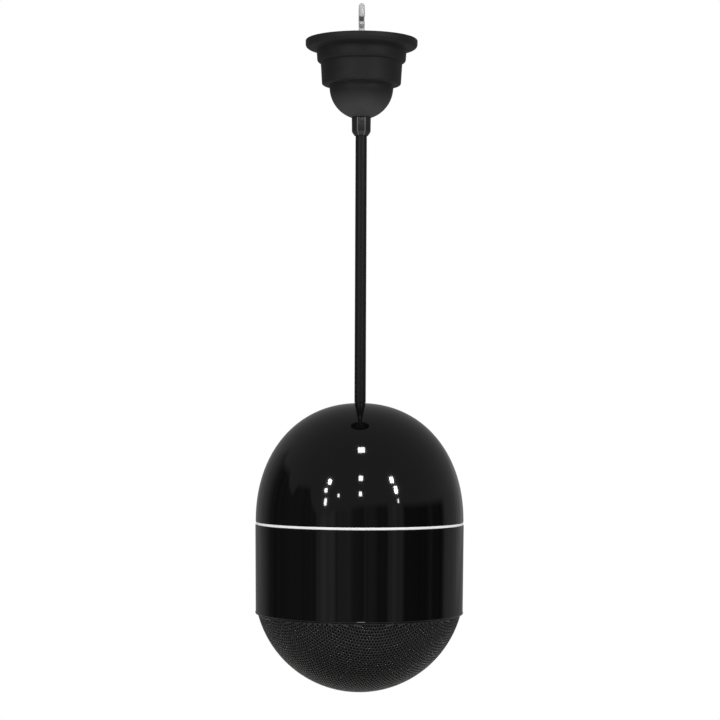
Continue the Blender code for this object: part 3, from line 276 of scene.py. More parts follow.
# ---------------------------------------------------------------------------------------------
# Floor: the pale floor of the sweep, mostly under and behind the speaker. It fades out at its
# edge, so that no line shows where it meets the white behind.
FLOOR_LEVEL = -0.90
FLOOR_SIDE = 2.8
FLOOR_COLOUR = (0.54, 0.54, 0.53)
FLOOR_MIDDLE = 0.45
FLOOR_FADE_START = 0.30
FLOOR_FADE_END = 0.80


def new_finish(name, colour, roughness, metallic=0.0, **sockets):
    """A material with one shader, its tree and the shader."""
    look = bpy.data.materials.new(name)
    look.use_nodes = True
    tree = look.node_tree
    shader = tree.nodes["Principled BSDF"]
    shader.inputs["Base Color"].default_value = (*colour, 1.0)
    shader.inputs["Roughness"].default_value = roughness
    shader.inputs["Metallic"].default_value = metallic
    for key, value in sockets.items():
        shader.inputs[key.replace("_", " ")].default_value = value
    return look, tree, shader


def add_piece(name, shape, look, smooth_angle=35):
    """Makes an object of a bmesh, smooth except across edges sharper than the angle."""
    mesh = bpy.data.meshes.new(name)
    shape.to_mesh(mesh)
    shape.free()
    mesh.materials.append(look)
    piece = bpy.data.objects.new(name, mesh)
    scene.collection.objects.link(piece)
    return smoothed(piece, smooth_angle)


def smoothed(piece, angle):
    """Shades the piece smooth except across edges sharper than the angle."""
    piece.data.shade_smooth()
    piece.data.set_sharp_from_angle(angle=math.radians(angle))
    return piece


def object_place(tree, stretch=(1, 1, 1)):
    """Object coordinates, stretched for a pattern."""
    coordinates = add_node(tree, "TexCoord").outputs["Object"]
    return add_node(tree, "Mapping", {"Vector": coordinates, "Scale": stretch})


def distance_from(tree, point):
    """How far the surface is from a point."""
    spots = {0: object_place(tree), 1: point}
    return add_node(tree, "VectorMath", spots, operation="DISTANCE").outputs["Value"]


floor_finish, tree, shader = new_finish("pale_floor", FLOOR_COLOUR, 0.7)
distance = distance_from(tree, (0.0, FLOOR_MIDDLE, FLOOR_LEVEL))
edge = fade(tree, distance, FLOOR_FADE_START, FLOOR_FADE_END)
blank = add_node(tree, "BsdfTransparent")
faded = add_node(tree, "MixShader", {0: edge, 1: shader, 2: blank})
tree.links.new(faded.outputs[0], tree.nodes["Material Output"].inputs["Surface"])
sheet = bmesh.new()
bmesh.ops.create_grid(
    sheet,
    x_segments=1,
    y_segments=1,
    size=FLOOR_SIDE / 2,
    matrix=Matrix.Translation((0, 0, FLOOR_LEVEL)),
)
floor = add_piece("floor", sheet, floor_finish)

# ---------------------------------------------------------------------------------------------
# Eye hook: 6 mm steel wire bent to an open ring on a threaded shank, zinc plated. The
# ceiling's own hook goes in at the mouth, which faces the viewer.
HOOK_WIRE_R = 0.0030
EYE_BORE_R = 0.0070
EYE_RING_R = EYE_BORE_R + HOOK_WIRE_R
EYE_TURN = math.radians(1)
EYE_SHADE_START = 0.0094
EYE_SHADE_END = 0.0074
MOUTH_TOP = math.radians(-14)
MOUTH_BOTTOM = math.radians(-43)
MOUTH_ROUND = 0.0012
PAINTED_DARK_TOP_END = -0.0130
PAINTED_LIGHT_LOW_START = -0.0190
SHANK_TOP = -0.0170
SHANK_NECK = 0.0010
SHANK_END = -0.0470
SHANK_CHAMFER = 0.0005
THREAD_TOP = -0.0290
THREAD_PITCH = 0.0010
THREAD_DEPTH = 0.0006
THREAD_FLANK = 0.0002
THREAD_TURNS = 16
THREAD_STEPS = 24


def grey(level):
    """A neutral colour."""
    return (level, level, level)


def object_axes(tree):
    """The Object coordinates X, Y and Z, each on its own."""
    return add_node(tree, "SeparateXYZ", {0: object_place(tree)}).outputs


def add_noise(tree, scale, detail=3.0, stretch=(1, 1, 1), roughness=0.5):
    """Fine mottling over Object coordinates; scale is in waves per metre."""
    settings = {"Scale": scale, "Detail": detail, "Roughness": roughness}
    return add_node(tree, "TexNoise", {"Vector": object_place(tree, stretch), **settings})


def tinted(tree, factor, dark, light):
    """A colour between two colours, or between two colours that other nodes give."""
    dark, light = ((*c, 1.0) if isinstance(c, tuple) else c for c in (dark, light))
    return add_node(tree, "Mix", {0: factor, 6: dark, 7: light}, data_type="RGBA").outputs[2]


def coloured(tree, shader, factor, dark, light):
    """Colours the finish between dark and light."""
    tree.links.new(tinted(tree, factor, dark, light), shader.inputs["Base Color"])


def roughened(tree, shader, factor, low, high):
    """Varies the finish from its smoothest to its roughest."""
    tree.links.new(between(tree, factor, low, high).outputs[0], shader.inputs["Roughness"])


def raised(tree, shader, height, depth, strength):
    """Lifts the surface by a height pattern, depth in metres."""
    bump = add_node(tree, "Bump", {"Height": height, "Distance": depth, "Strength": strength})
    tree.links.new(bump.outputs[0], shader.inputs["Normal"])


def face_out(shape):
    """Turns all faces of a closed shape outward."""
    bmesh.ops.recalc_face_normals(shape, faces=shape.faces)
    if shape.calc_volume(signed=True) < 0:
        bmesh.ops.reverse_faces(shape, faces=shape.faces)


def spun(profile, steps, closed=True):
    """Spins (radius, height) points once round the axis into a closed skin."""
    shape = bmesh.new()
    points = [shape.verts.new((radius, 0.0, height)) for radius, height in profile]
    pairs = list(zip(points, points[1:]))
    if closed:
        pairs.append((points[-1], points[0]))
    lines = [shape.edges.new(pair) for pair in pairs]
    bmesh.ops.spin(
        shape,
        geom=points + lines,
        cent=(0, 0, 0),
        axis=(0, 0, 1),
        angle=math.tau,
        steps=steps,
        use_merge=True,
    )
    bmesh.ops.remove_doubles(shape, verts=shape.verts, dist=0.000001)
    bmesh.ops.recalc_face_normals(shape, faces=shape.faces)
    return shape


def join_or_cut(piece, tool, operation):
    """Joins a second shape to the piece, or cuts it away, then discards it."""
    boolean = piece.modifiers.new("boolean", "BOOLEAN")
    boolean.operation = operation
    boolean.solver = "MANIFOLD"
    boolean.object = tool
    graph = bpy.context.evaluated_depsgraph_get()
    made = bpy.data.meshes.new_from_object(piece.evaluated_get(graph))
    piece.modifiers.clear()
    piece.data = made
    bpy.data.objects.remove(tool)


hook_zinc, tree, shader = new_finish("hook_zinc", (0.72, 0.73, 0.74), 0.42, 0.15)
bloom = add_noise(tree, 90, 4)
# Painted light: the plating is painted darker over the top of the eye and lighter from the shank
# down, standing in for how the light falls on the ring.
painted_dark_top = tinted(tree, bloom, (0.48, 0.48, 0.47), (0.62, 0.63, 0.64))
painted_light_low = tinted(tree, bloom, (0.76, 0.76, 0.74), (0.94, 0.95, 0.96))
low_down = fade(tree, object_axes(tree)["Z"], PAINTED_DARK_TOP_END, PAINTED_LIGHT_LOW_START)
plating_with_painted_light = tinted(tree, low_down, painted_dark_top, painted_light_low)
# Painted shade: the inside of the eye, seen through the mouth, is painted dark grey where the ring
# shadows it.
from_bore = distance_from(tree, (0.0, 0.0, -EYE_BORE_R))
outside_bore = fade(tree, from_bore, EYE_SHADE_END, EYE_SHADE_START)
coloured(tree, shader, outside_bore, grey(0.07), plating_with_painted_light)
marks = add_noise(tree, 700, 5, (1, 1, 3))
roughened(tree, shader, marks, 0.34, 0.58)
raised(tree, shader, marks, 0.00004, 0.5)

ring = bmesh.new()
wire_end = bmesh.ops.create_circle(ring, cap_ends=False, segments=24, radius=HOOK_WIRE_R)["verts"]
bmesh.ops.translate(ring, verts=wire_end, vec=(EYE_RING_R, 0, 0))
bmesh.ops.spin(
    ring,
    geom=ring.verts[:] + ring.edges[:],
    cent=(0, 0, 0),
    axis=(0, 1, 0),
    angle=math.tau - (MOUTH_TOP - MOUTH_BOTTOM),
    steps=72,
)
bmesh.ops.holes_fill(ring, edges=ring.edges[:])
ends = [face for face in ring.faces if len(face.verts) > 4]
rims = list({line for face in ends for line in face.edges})
bmesh.ops.bevel(
    ring, geom=rims, offset=MOUTH_ROUND, segments=4, affect="EDGES", profile=0.5, material=-1
)
turned_up = Matrix.Rotation(math.pi + MOUTH_TOP, 3, "Y")
bmesh.ops.rotate(ring, verts=ring.verts[:], cent=(0, 0, 0), matrix=turned_up)
facing = Matrix.Rotation(math.pi / 2 + EYE_TURN, 3, "Z")
bmesh.ops.rotate(ring, verts=ring.verts[:], cent=(0, 0, 0), matrix=facing)
bmesh.ops.translate(ring, verts=ring.verts[:], vec=(0, 0, -EYE_BORE_R))
face_out(ring)
hook = add_piece("hook_ring", ring, hook_zinc, 50)

root = HOOK_WIRE_R - THREAD_DEPTH
shank_profile = [
    (0.0, SHANK_TOP + SHANK_NECK * 1.2),
    (HOOK_WIRE_R * 0.80, SHANK_TOP + SHANK_NECK),
    (HOOK_WIRE_R, SHANK_TOP - SHANK_NECK),
    (HOOK_WIRE_R, THREAD_TOP + THREAD_DEPTH),
    (root, THREAD_TOP),
    (root, SHANK_END + SHANK_CHAMFER),
    (root - SHANK_CHAMFER, SHANK_END),
    (0.0, SHANK_END),
]
shank = add_piece("hook_shank", spun(shank_profile, 32, closed=False), hook_zinc)
join_or_cut(hook, shank, "UNION")

thread = bmesh.new()
ridge = [
    (root - 2 * THREAD_FLANK, THREAD_TOP - THREAD_FLANK),
    (root, THREAD_TOP - THREAD_FLANK),
    (HOOK_WIRE_R, THREAD_TOP - 2 * THREAD_FLANK),
    (HOOK_WIRE_R, THREAD_TOP - 3 * THREAD_FLANK),
    (root, THREAD_TOP - 4 * THREAD_FLANK),
    (root - 2 * THREAD_FLANK, THREAD_TOP - 4 * THREAD_FLANK),
]
section = thread.faces.new([thread.verts.new((radius, 0, height)) for radius, height in ridge])
bmesh.ops.spin(
    thread,
    geom=[section],
    cent=(0, 0, 0),
    axis=(0, 0, 1),
    dvec=(0, 0, -THREAD_PITCH / THREAD_STEPS),
    angle=math.tau * THREAD_TURNS,
    steps=THREAD_STEPS * THREAD_TURNS,
)
face_out(thread)
join_or_cut(hook, add_piece("hook_thread", thread, hook_zinc, 40), "UNION")
smoothed(hook, 42)
hook.name = "eye_hook_wire"
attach(hook, "speaker")
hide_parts("eye_hook")

# ---------------------------------------------------------------------------------------------
# Lock nut, socket and cross pin: turned and plated steel. The hook screws into the socket,
# the nut locks it, and the pin goes through the socket and the rod.
zinc, tree, shader = new_finish("zinc_plating", (0.72, 0.73, 0.74), 0.42, 0.3)
bloom = add_noise(tree, 90, 4)
coloured(tree, shader, bloom, (0.5904, 0.5840, 0.5476), (0.72, 0.73, 0.74))
marks = add_noise(tree, 700, 5, (1, 1, 3))
roughened(tree, shader, marks, 0.32, 0.60)
raised(tree, shader, marks, 0.00004, 0.5)


def dress(names, look):
    """Gives these nodes of the model their finish."""
    for name in names:
        nodes[name].data.materials.clear()
        nodes[name].data.materials.append(look)


dress(["hook_locknut", "hook_socket", "socket_cross_pin"], zinc)

# ---------------------------------------------------------------------------------------------
# Terminal bracket and block: a pressed plated strip under the lock nut carries a nylon block
# with brass clamp screws, where the audio line is joined to the speaker's cable.
nylon, tree, shader = new_finish(
    "nylon",
    (0.78, 0.77, 0.72),
    0.45,
    Subsurface_Weight=0.15,
    Subsurface_Radius=(0.002, 0.002, 0.0015),
)
cloud = add_noise(tree, 260, 4)
coloured(tree, shader, cloud, (0.70, 0.69, 0.63), (0.80, 0.79, 0.75))
raised(tree, shader, add_noise(tree, 1800, 2), 0.00003, 0.4)

brass, tree, shader = new_finish("brass", (0.72, 0.52, 0.22), 0.30, 1.0)
stain = add_noise(tree, 500, 4)
coloured(tree, shader, stain, (0.50, 0.34, 0.13), (0.76, 0.56, 0.25))
roughened(tree, shader, stain, 0.22, 0.45)

dress(["terminal_bracket", "block_screw_1"], zinc)
dress(["terminal_block"], nylon)
dress(["clamp_screw_1", "clamp_screw_2", "clamp_screw_3", "clamp_screw_4"], brass)

# ---------------------------------------------------------------------------------------------
# Ceiling canopy: one moulding in matt black ABS, open at the top, with a rounded flange, a
# stepped barrel and a bowl that the rod passes through. It slides on the rod.
RIM = -0.0310
RIM_EDGE = 0.0006
FLANGE_R = 0.0560
FLANGE_ROUND = 0.0042
FLANGE_LEVEL = RIM - 0.0042
FLANGE_INNER_R = 0.0536
STEP_R = 0.0444
STEP_ROUND = 0.0034
STEP_LEVEL = RIM - 0.0192
BARREL_R = 0.0396
BARREL_ROUND = 0.0024
BARREL_LEVEL = RIM - 0.0427
BOWL_R = 0.0319
BOWL_LEVEL = RIM - 0.0470
CANOPY_WALL = 0.0024
CANOPY_SEAT_R = 0.0102
CANOPY_SEAT_INSIDE = -77.6
CANOPY_BORE_GAP = 0.0006
BOWL_PAINTED_LIGHT_START = RIM - 0.0530
BOWL_PAINTED_LIGHT_END = RIM - 0.0690
ROD_R = 0.0057


def arc(centre_r, centre_z, radius, start, end, steps):
    """Points on an arc of a profile, angles in degrees from straight outwards."""
    made = []
    for i in range(steps + 1):
        angle = math.radians(start + (end - start) * i / steps)
        made.append((centre_r + radius * math.cos(angle), centre_z + radius * math.sin(angle)))
    return made


matt_black, tree, shader = new_finish("matt_black_abs", grey(0.012), 0.55, IOR=1.32)
shade = add_noise(tree, 60, 4)
plain = tinted(tree, shade, grey(0.007), grey(0.015))
painted_light = tinted(tree, shade, grey(0.034), grey(0.050))
# Painted light: the bowl is painted lighter towards its bottom, standing in for light from below.
bowl_painted_light_mask = fade(tree, object_axes(tree)["Z"], BOWL_PAINTED_LIGHT_START, BOWL_PAINTED_LIGHT_END)
coloured(tree, shader, bowl_painted_light_mask, plain, painted_light)
spark = add_noise(tree, 2600, 2)
roughened(tree, shader, spark, 0.48, 0.62)
raised(tree, shader, spark, 0.00005, 0.6)

seat_angle = math.degrees(math.acos(CANOPY_SEAT_R / BOWL_R))
inner_bowl = BOWL_R - CANOPY_WALL
canopy_bore = ROD_R + CANOPY_BORE_GAP
canopy_profile = [
    (FLANGE_R - RIM_EDGE, RIM),
    (FLANGE_R, RIM - RIM_EDGE),
    *arc(FLANGE_R - FLANGE_ROUND, FLANGE_LEVEL, FLANGE_ROUND, 0, -90, 12),
    (STEP_R + 0.0024, RIM - 0.0094),
    (STEP_R + 0.0006, RIM - 0.0102),
    *arc(STEP_R - STEP_ROUND, STEP_LEVEL, STEP_ROUND, 0, -75, 8),
    (BARREL_R + 0.0012, RIM - 0.0229),
    *arc(BARREL_R - BARREL_ROUND, BARREL_LEVEL, BARREL_ROUND, 0, -90, 8),
    (BOWL_R + 0.0006, RIM - 0.0454),
    *arc(0, BOWL_LEVEL, BOWL_R, 0, -seat_angle, 32),
    (canopy_bore, BOWL_LEVEL - math.sqrt(BOWL_R**2 - CANOPY_SEAT_R**2)),
    (canopy_bore, BOWL_LEVEL - math.sqrt(inner_bowl**2 - canopy_bore**2)),
    *arc(0, BOWL_LEVEL, inner_bowl, CANOPY_SEAT_INSIDE, 0, 20),
    (inner_bowl, BARREL_LEVEL),
    (BARREL_R - CANOPY_WALL, BARREL_LEVEL),
    (BARREL_R - 0.0012, RIM - 0.0202),
    (STEP_R - 0.0030, RIM - 0.0202),
    (STEP_R - CANOPY_WALL, RIM - 0.0070),
    (FLANGE_INNER_R, FLANGE_LEVEL),
    (FLANGE_INNER_R, RIM),
]
canopy = add_piece("canopy_moulding", spun(canopy_profile, 144), matt_black, 30)
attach(canopy, "ceiling_canopy")
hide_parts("canopy")

# ---------------------------------------------------------------------------------------------
# Lock collar: an eight-sided gloss black moulding with a chamfered nose, pushed up under the
# canopy and held on the rod by a grub screw at the back. Its upright edges carry a painted
# highlight.
COLLAR_TOP = -0.1085
COLLAR_NOSE_TOP = -0.1225
COLLAR_BOTTOM = -0.1267
COLLAR_TOP_FLAT = 0.0096
COLLAR_LOW_FLAT = 0.0094
COLLAR_NOSE_FLAT = 0.0066
COLLAR_CORNER = 1 / math.cos(math.pi / 8)
COLLAR_ROUND = 0.0008
COLLAR_BORE_GAP = 0.0003
COLLAR_BORE_DEPTH = 0.05
GRUB_LEVEL = -0.1155
GRUB_HOLE_R = 0.0023
GRUB_HOLE_DEPTH = 0.012
EDGE_PAINTED_HIGHLIGHT_START = 0.42
EDGE_PAINTED_HIGHLIGHT_END = 0.47

collar_black, tree, shader = new_finish("collar_black", grey(0.014), 0.33, IOR=1.5)
place = object_axes(tree)
around = maths(tree, "ARCTAN2", place["Y"], place["X"])
side = maths(tree, "MULTIPLY", around, 4 / math.pi)
from_flat = maths(tree, "PINGPONG", side, 0.5)
# Painted highlight: the eight upright edges are painted light grey.
painted_light = fade(tree, from_flat, EDGE_PAINTED_HIGHLIGHT_START, EDGE_PAINTED_HIGHLIGHT_END)
coloured(tree, shader, painted_light, grey(0.014), grey(0.13))
scuffs = add_noise(tree, 500, 4, (1, 1, 0.25))
roughened(tree, shader, scuffs, 0.28, 0.38)
raised(tree, shader, scuffs, 0.00001, 0.3)


def drill(piece, radius, depth, place, segments=24):
    """Drills a round hole in the piece, centred on a place and along its own Z."""
    tool = bmesh.new()
    bmesh.ops.create_cone(
        tool,
        cap_ends=True,
        segments=segments,
        radius1=radius,
        radius2=radius,
        depth=depth,
        matrix=place,
    )
    join_or_cut(piece, add_piece("drill", tool, piece.data.materials[0]), "DIFFERENCE")


block = bmesh.new()
bmesh.ops.create_circle(
    block,
    cap_ends=True,
    segments=8,
    radius=COLLAR_TOP_FLAT * COLLAR_CORNER,
    matrix=Matrix.Translation((0, 0, COLLAR_TOP)) @ Matrix.Rotation(math.pi / 8, 4, "Z"),
)
for level, flat in ((COLLAR_NOSE_TOP, COLLAR_LOW_FLAT), (COLLAR_BOTTOM, COLLAR_NOSE_FLAT)):
    foot = min(block.faces, key=lambda face: face.calc_center_median().z)
    grown = bmesh.ops.extrude_face_region(block, geom=[foot])["geom"]
    for corner in (v for v in grown if isinstance(v, bmesh.types.BMVert)):
        out = corner.co.to_2d().normalized() * flat * COLLAR_CORNER
        corner.co = (out.x, out.y, level)
    if level == COLLAR_BOTTOM:
        bmesh.ops.delete(block, geom=[foot], context="FACES_ONLY")
bmesh.ops.recalc_face_normals(block, faces=block.faces)
bmesh.ops.bevel(
    block,
    geom=block.edges[:],
    offset=COLLAR_ROUND,
    segments=4,
    affect="EDGES",
    profile=0.5,
    material=-1,
)
collar = add_piece("collar_block", block, collar_black)
collar_middle = Matrix.Translation((0, 0, (COLLAR_TOP + COLLAR_BOTTOM) / 2))
drill(collar, ROD_R + COLLAR_BORE_GAP, COLLAR_BORE_DEPTH, collar_middle, segments=48)
at_back = Matrix.Translation((0, COLLAR_TOP_FLAT, GRUB_LEVEL))
drill(collar, GRUB_HOLE_R, GRUB_HOLE_DEPTH, at_back @ Matrix.Rotation(math.pi / 2, 4, "X"))
smoothed(collar, 30)
collar.name = "lock_collar_moulding"
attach(collar, "ceiling_canopy")
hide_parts("lock_collar")
dress(["collar_grub_screw"], zinc)

# ---------------------------------------------------------------------------------------------
# Suspension rod: drawn steel tube, powder coated satin black, drilled for the cross pin,
# slotted for the cable and turned down to a spigot where it goes through the dome.
ROD_TOP = -0.0490
ROD_CHAMFER = 0.0004
ROD_SHOULDER = -0.3934
ROD_END = -0.4137
ROD_BORE_R = 0.0037
ROD_RING_GAP = 0.0215
SPIGOT_R = 0.0049
SLOT_WIDTH = 0.0064
SLOT_LENGTH = 0.0180
SLOT_ROUND = 0.0031
SLOT_LEVEL = -0.0740
PIN_HOLE_R = 0.0023
PIN_HOLE_DEPTH = 0.03
PIN_LEVEL = -0.0560

satin_black, tree, shader = new_finish(
    "satin_black_coat", grey(0.007), 0.40, IOR=1.5, Specular_IOR_Level=0.22
)
peel = add_noise(tree, 1400, 2)
roughened(tree, shader, peel, 0.33, 0.47)
raised(tree, shader, peel, 0.00005, 0.5)

tube_profile = [
    (ROD_R - ROD_CHAMFER, ROD_TOP),
    (ROD_R, ROD_TOP - ROD_CHAMFER),
    *[(ROD_R, ROD_TOP - ROD_CHAMFER - ROD_RING_GAP * step) for step in range(1, 16)],
    (ROD_R, ROD_SHOULDER),
    (SPIGOT_R, ROD_SHOULDER),
    (SPIGOT_R, ROD_END),
    (ROD_BORE_R, ROD_END),
    (ROD_BORE_R, ROD_TOP),
]
rod = add_piece("rod_tube", spun(tube_profile, 64), satin_black)
slot = bmesh.new()
bmesh.ops.create_cube(slot, size=1.0)
bmesh.ops.scale(slot, vec=(SLOT_WIDTH, SLOT_WIDTH, SLOT_LENGTH), verts=slot.verts[:])
bmesh.ops.bevel(
    slot,
    geom=[line for line in slot.edges if abs(line.verts[0].co.x - line.verts[1].co.x) > 0.001],
    offset=SLOT_ROUND,
    segments=8,
    affect="EDGES",
    profile=0.5,
    material=-1,
)
bmesh.ops.translate(slot, verts=slot.verts[:], vec=(SLOT_WIDTH, 0, SLOT_LEVEL))
join_or_cut(rod, add_piece("rod_slot", slot, satin_black), "DIFFERENCE")
at_pin = Matrix.Translation((0, 0, PIN_LEVEL)) @ Matrix.Rotation(math.pi / 2, 4, "X")
drill(rod, PIN_HOLE_R, PIN_HOLE_DEPTH, at_pin)
smoothed(rod, 30)
rod.name = "suspension_tube"
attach(rod, "speaker")
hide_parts("suspension_rod")

# ---------------------------------------------------------------------------------------------
# Speaker cable: round two-core cable in a dull black sheath, in at the rod's slot and down to
# the driver, held all the way.
sheath, tree, shader = new_finish("cable_sheath", (0.030, 0.030, 0.031), 0.55)
dust = add_noise(tree, 900, 3, (1, 1, 0.2))
coloured(tree, shader, dust, (0.022, 0.022, 0.023), (0.040, 0.040, 0.041))
roughened(tree, shader, dust, 0.48, 0.66)
raised(tree, shader, dust, 0.00004, 0.4)
dress(["speaker_cable"], sheath)

# ---------------------------------------------------------------------------------------------
# Dome: the upper half of the housing, moulded in gloss black ABS and polished, with a thick
# hub at the top that the rod is clamped in.
DOME_TOP = -0.3937
DOME_EDGE = -0.5119
DOME_R = 0.1038
DOME_RISE = DOME_TOP - DOME_EDGE
DOME_FULLNESS = 2.147
SHELL_WALL = 0.0028
HUB_R = 0.0280
HUB_LEVEL = -0.4007
HUB_HOLE_R = 0.0052

gloss_black, tree, shader = new_finish("gloss_black_abs", (0.0016, 0.0016, 0.0017), 0.05, IOR=1.5)
roughened(tree, shader, add_noise(tree, 14, 4), 0.045, 0.075)
raised(tree, shader, add_noise(tree, 16, 1), 0.000004, 0.4)


def dome_curve(radius, rise, steps):
    """The dome's outline from its edge to its top, a little fuller than an ellipse."""
    made = []
    for i in range(steps + 1):
        lean = math.pi / 2 * i / steps
        out = math.cos(lean) ** (2 / DOME_FULLNESS)
        up = math.sin(lean) ** (2 / DOME_FULLNESS)
        made.append((radius * out, DOME_EDGE + rise * up))
    return made


outside = dome_curve(DOME_R, DOME_RISE, 96)
inside = dome_curve(DOME_R - SHELL_WALL, DOME_RISE - SHELL_WALL, 40)
dome_profile = [
    *[p for p in outside if p[0] > HUB_HOLE_R],
    (HUB_HOLE_R, DOME_TOP),
    (HUB_HOLE_R, HUB_LEVEL),
    (HUB_R, HUB_LEVEL),
    *[p for p in inside if p[0] > HUB_R][::-1],
]
dome = add_piece("dome_moulding", spun(dome_profile, 192), gloss_black)
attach(dome, "speaker")
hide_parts("dome_shell")

# ---------------------------------------------------------------------------------------------
# Rod washer, nut and grommet: plated steel clamps the rod in the hub from inside, and a
# rubber grommet guards the cable at the rod's end.
rubber, tree, shader = new_finish("black_rubber", (0.016, 0.016, 0.017), 0.62)
bloom = add_noise(tree, 240, 4)
coloured(tree, shader, bloom, (0.012, 0.012, 0.013), grey(0.024))
raised(tree, shader, add_noise(tree, 1500, 2), 0.00004, 0.4)
dress(["rod_washer", "rod_nut"], zinc)
dress(["cable_grommet"], rubber)

# ---------------------------------------------------------------------------------------------
# Trim ring: a bright plated metal ring, turned with a rounded edge and clamped between the two
# shells, where it covers their joint.
RING_TOP = -0.5123
RING_BOTTOM = -0.5149
RING_R = 0.1036
RING_INNER_R = 0.1006
RING_ROUND = 0.0005

bright, tree, shader = new_finish("bright_plating", grey(0.97), 0.34, 0.10)
turning = add_noise(tree, 300, 3, (1, 1, 12))
roughened(tree, shader, turning, 0.26, 0.42)
raised(tree, shader, turning, 0.00002, 0.4)

ring_profile = [
    *arc(RING_R - RING_ROUND, RING_TOP - RING_ROUND, RING_ROUND, 90, 0, 6),
    *arc(RING_R - RING_ROUND, RING_BOTTOM + RING_ROUND, RING_ROUND, 0, -90, 6),
    (RING_INNER_R, RING_BOTTOM),
    (RING_INNER_R, RING_TOP),
]
trim = add_piece("bright_ring", spun(ring_profile, 256), bright, 60)
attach(trim, "speaker")
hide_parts("trim_ring")

# ---------------------------------------------------------------------------------------------
# Lower shell: the straight half of the housing in the same gloss black ABS, with a small lip
# at its lower edge and a baffle inside that carries the driver.
LOWER_TOP = -0.5150
LOWER_EDGE = -0.6035
LOWER_TOP_R = 0.1041
LOWER_BOTTOM_R = 0.1034
LOWER_CHAMFER = 0.0004
LOWER_RINGS = 16
WALL_HEIGHT = 0.0867
LIP_R = 0.1039
LIP_ROUND = 0.0006
LIP_LEVEL = -0.6024
BAFFLE_FRONT = -0.5910
BAFFLE_BACK = -0.5870
CUTOUT_R = 0.0720

lower_inner_r = LOWER_BOTTOM_R - SHELL_WALL
wall_outside = []
for i in range(LOWER_RINGS + 1):
    radius = LOWER_TOP_R + (LOWER_BOTTOM_R - LOWER_TOP_R) * i / LOWER_RINGS
    wall_outside.append((radius, LOWER_TOP - LOWER_CHAMFER - WALL_HEIGHT * i / LOWER_RINGS))
lower_profile = [
    (LOWER_TOP_R - LOWER_CHAMFER, LOWER_TOP),
    *wall_outside,
    *arc(LIP_R - LIP_ROUND, LIP_LEVEL, LIP_ROUND, 0, -70, 6),
    (LOWER_BOTTOM_R, LOWER_EDGE),
    (lower_inner_r, LOWER_EDGE),
    (lower_inner_r, BAFFLE_FRONT),
    (CUTOUT_R, BAFFLE_FRONT),
    (CUTOUT_R, BAFFLE_BACK),
    (lower_inner_r, BAFFLE_BACK),
    (LOWER_TOP_R - SHELL_WALL, LOWER_TOP),
]
lower = add_piece("lower_moulding", spun(lower_profile, 192), gloss_black, 25)
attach(lower, "speaker")
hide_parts("lower_shell")
dress(["shell_screw_1", "shell_screw_2", "shell_screw_3", "shell_screw_4"], zinc)

# ---------------------------------------------------------------------------------------------
# Grille: a flat sheet of black coated wire mesh pressed to a dome, with a plain border and a
# band that is pushed up inside the lower shell. The coating is painted lighter near the shell, a
# painted light on its upper rows.
GRILLE_EDGE = -0.6038
GRILLE_EDGE_R = 0.1013
GRILLE_SPHERE_R = 0.10471
GRILLE_CENTRE = -0.57729
GRILLE_BAND_R = 0.0991
GRILLE_BAND_TOP = -0.5913
MESH_PITCH = 0.0038
MESH_HOLE = 0.00148
MESH_LIP = 0.00030
MESH_BORDER = 0.0005
MESH_SHEET = 0.0011
MESH_TURN = math.radians(8)
MESH_CORNER = 0.8
MESH_DARK_LEVEL = -0.655
MESH_PAINTED_LIGHT_LEVEL = -0.615

mesh_black, tree, shader = new_finish(
    "mesh_black_coat", grey(0.003), 0.20, IOR=1.5, Specular_IOR_Level=0.35
)
# Painted light: the upper rows of the mesh are painted lighter than the lower ones.
painted_light = fade(tree, object_axes(tree)["Z"], MESH_DARK_LEVEL, MESH_PAINTED_LIGHT_LEVEL)
coloured(tree, shader, painted_light, grey(0.001), grey(0.015))
speck = add_noise(tree, 900, 2)
roughened(tree, shader, speck, 0.08, 0.24)
raised(tree, shader, speck, 0.00025, 0.8)

full_reach = GRILLE_SPHERE_R * math.asin(GRILLE_EDGE_R / GRILLE_SPHERE_R)
row_gap = MESH_PITCH * math.sqrt(3) / 2
row_count = math.ceil(full_reach / row_gap)
lattice = bmesh.new()
bmesh.ops.create_circle(lattice, cap_ends=True, segments=144, radius=full_reach)
for degrees in (30, 90, 150):
    across = Vector((math.cos(math.radians(degrees)), math.sin(math.radians(degrees)), 0))
    for i in range(-row_count, row_count + 1):
        bmesh.ops.bisect_plane(
            lattice,
            geom=lattice.verts[:] + lattice.edges[:] + lattice.faces[:],
            dist=0.000001,
            plane_co=across * i * row_gap,
            plane_no=across,
        )
bmesh.ops.remove_doubles(lattice, verts=lattice.verts, dist=0.0001)
punched = bmesh.ops.bevel(
    lattice,
    geom=[v for v in lattice.verts if v.co.length < full_reach - MESH_HOLE - MESH_BORDER],
    offset=MESH_HOLE,
    segments=1,
    affect="VERTICES",
    profile=0.5,
    material=-1,
)["faces"]
bmesh.ops.delete(lattice, geom=punched, context="FACES")
turned = Matrix.Rotation(MESH_TURN, 3, "Z")
bmesh.ops.rotate(lattice, verts=lattice.verts[:], cent=(0, 0, 0), matrix=turned)
edge_lines = [
    line
    for line in lattice.edges
    if line.is_boundary and min(v.co.length for v in line.verts) > full_reach - MESH_BORDER / 2
]
for vert in lattice.verts:
    flat = vert.co.to_2d()
    lean = flat.length / GRILLE_SPHERE_R
    out = flat.normalized() * GRILLE_SPHERE_R * math.sin(lean)
    vert.co = (out.x, out.y, GRILLE_CENTRE - GRILLE_SPHERE_R * math.cos(lean))
for level in (GRILLE_EDGE, GRILLE_BAND_TOP):
    grown = bmesh.ops.extrude_edge_only(lattice, edges=edge_lines)["geom"]
    for vert in (v for v in grown if isinstance(v, bmesh.types.BMVert)):
        out = vert.co.to_2d().normalized() * GRILLE_BAND_R
        vert.co = (out.x, out.y, level)
    edge_lines = [e for e in grown if isinstance(e, bmesh.types.BMEdge)]
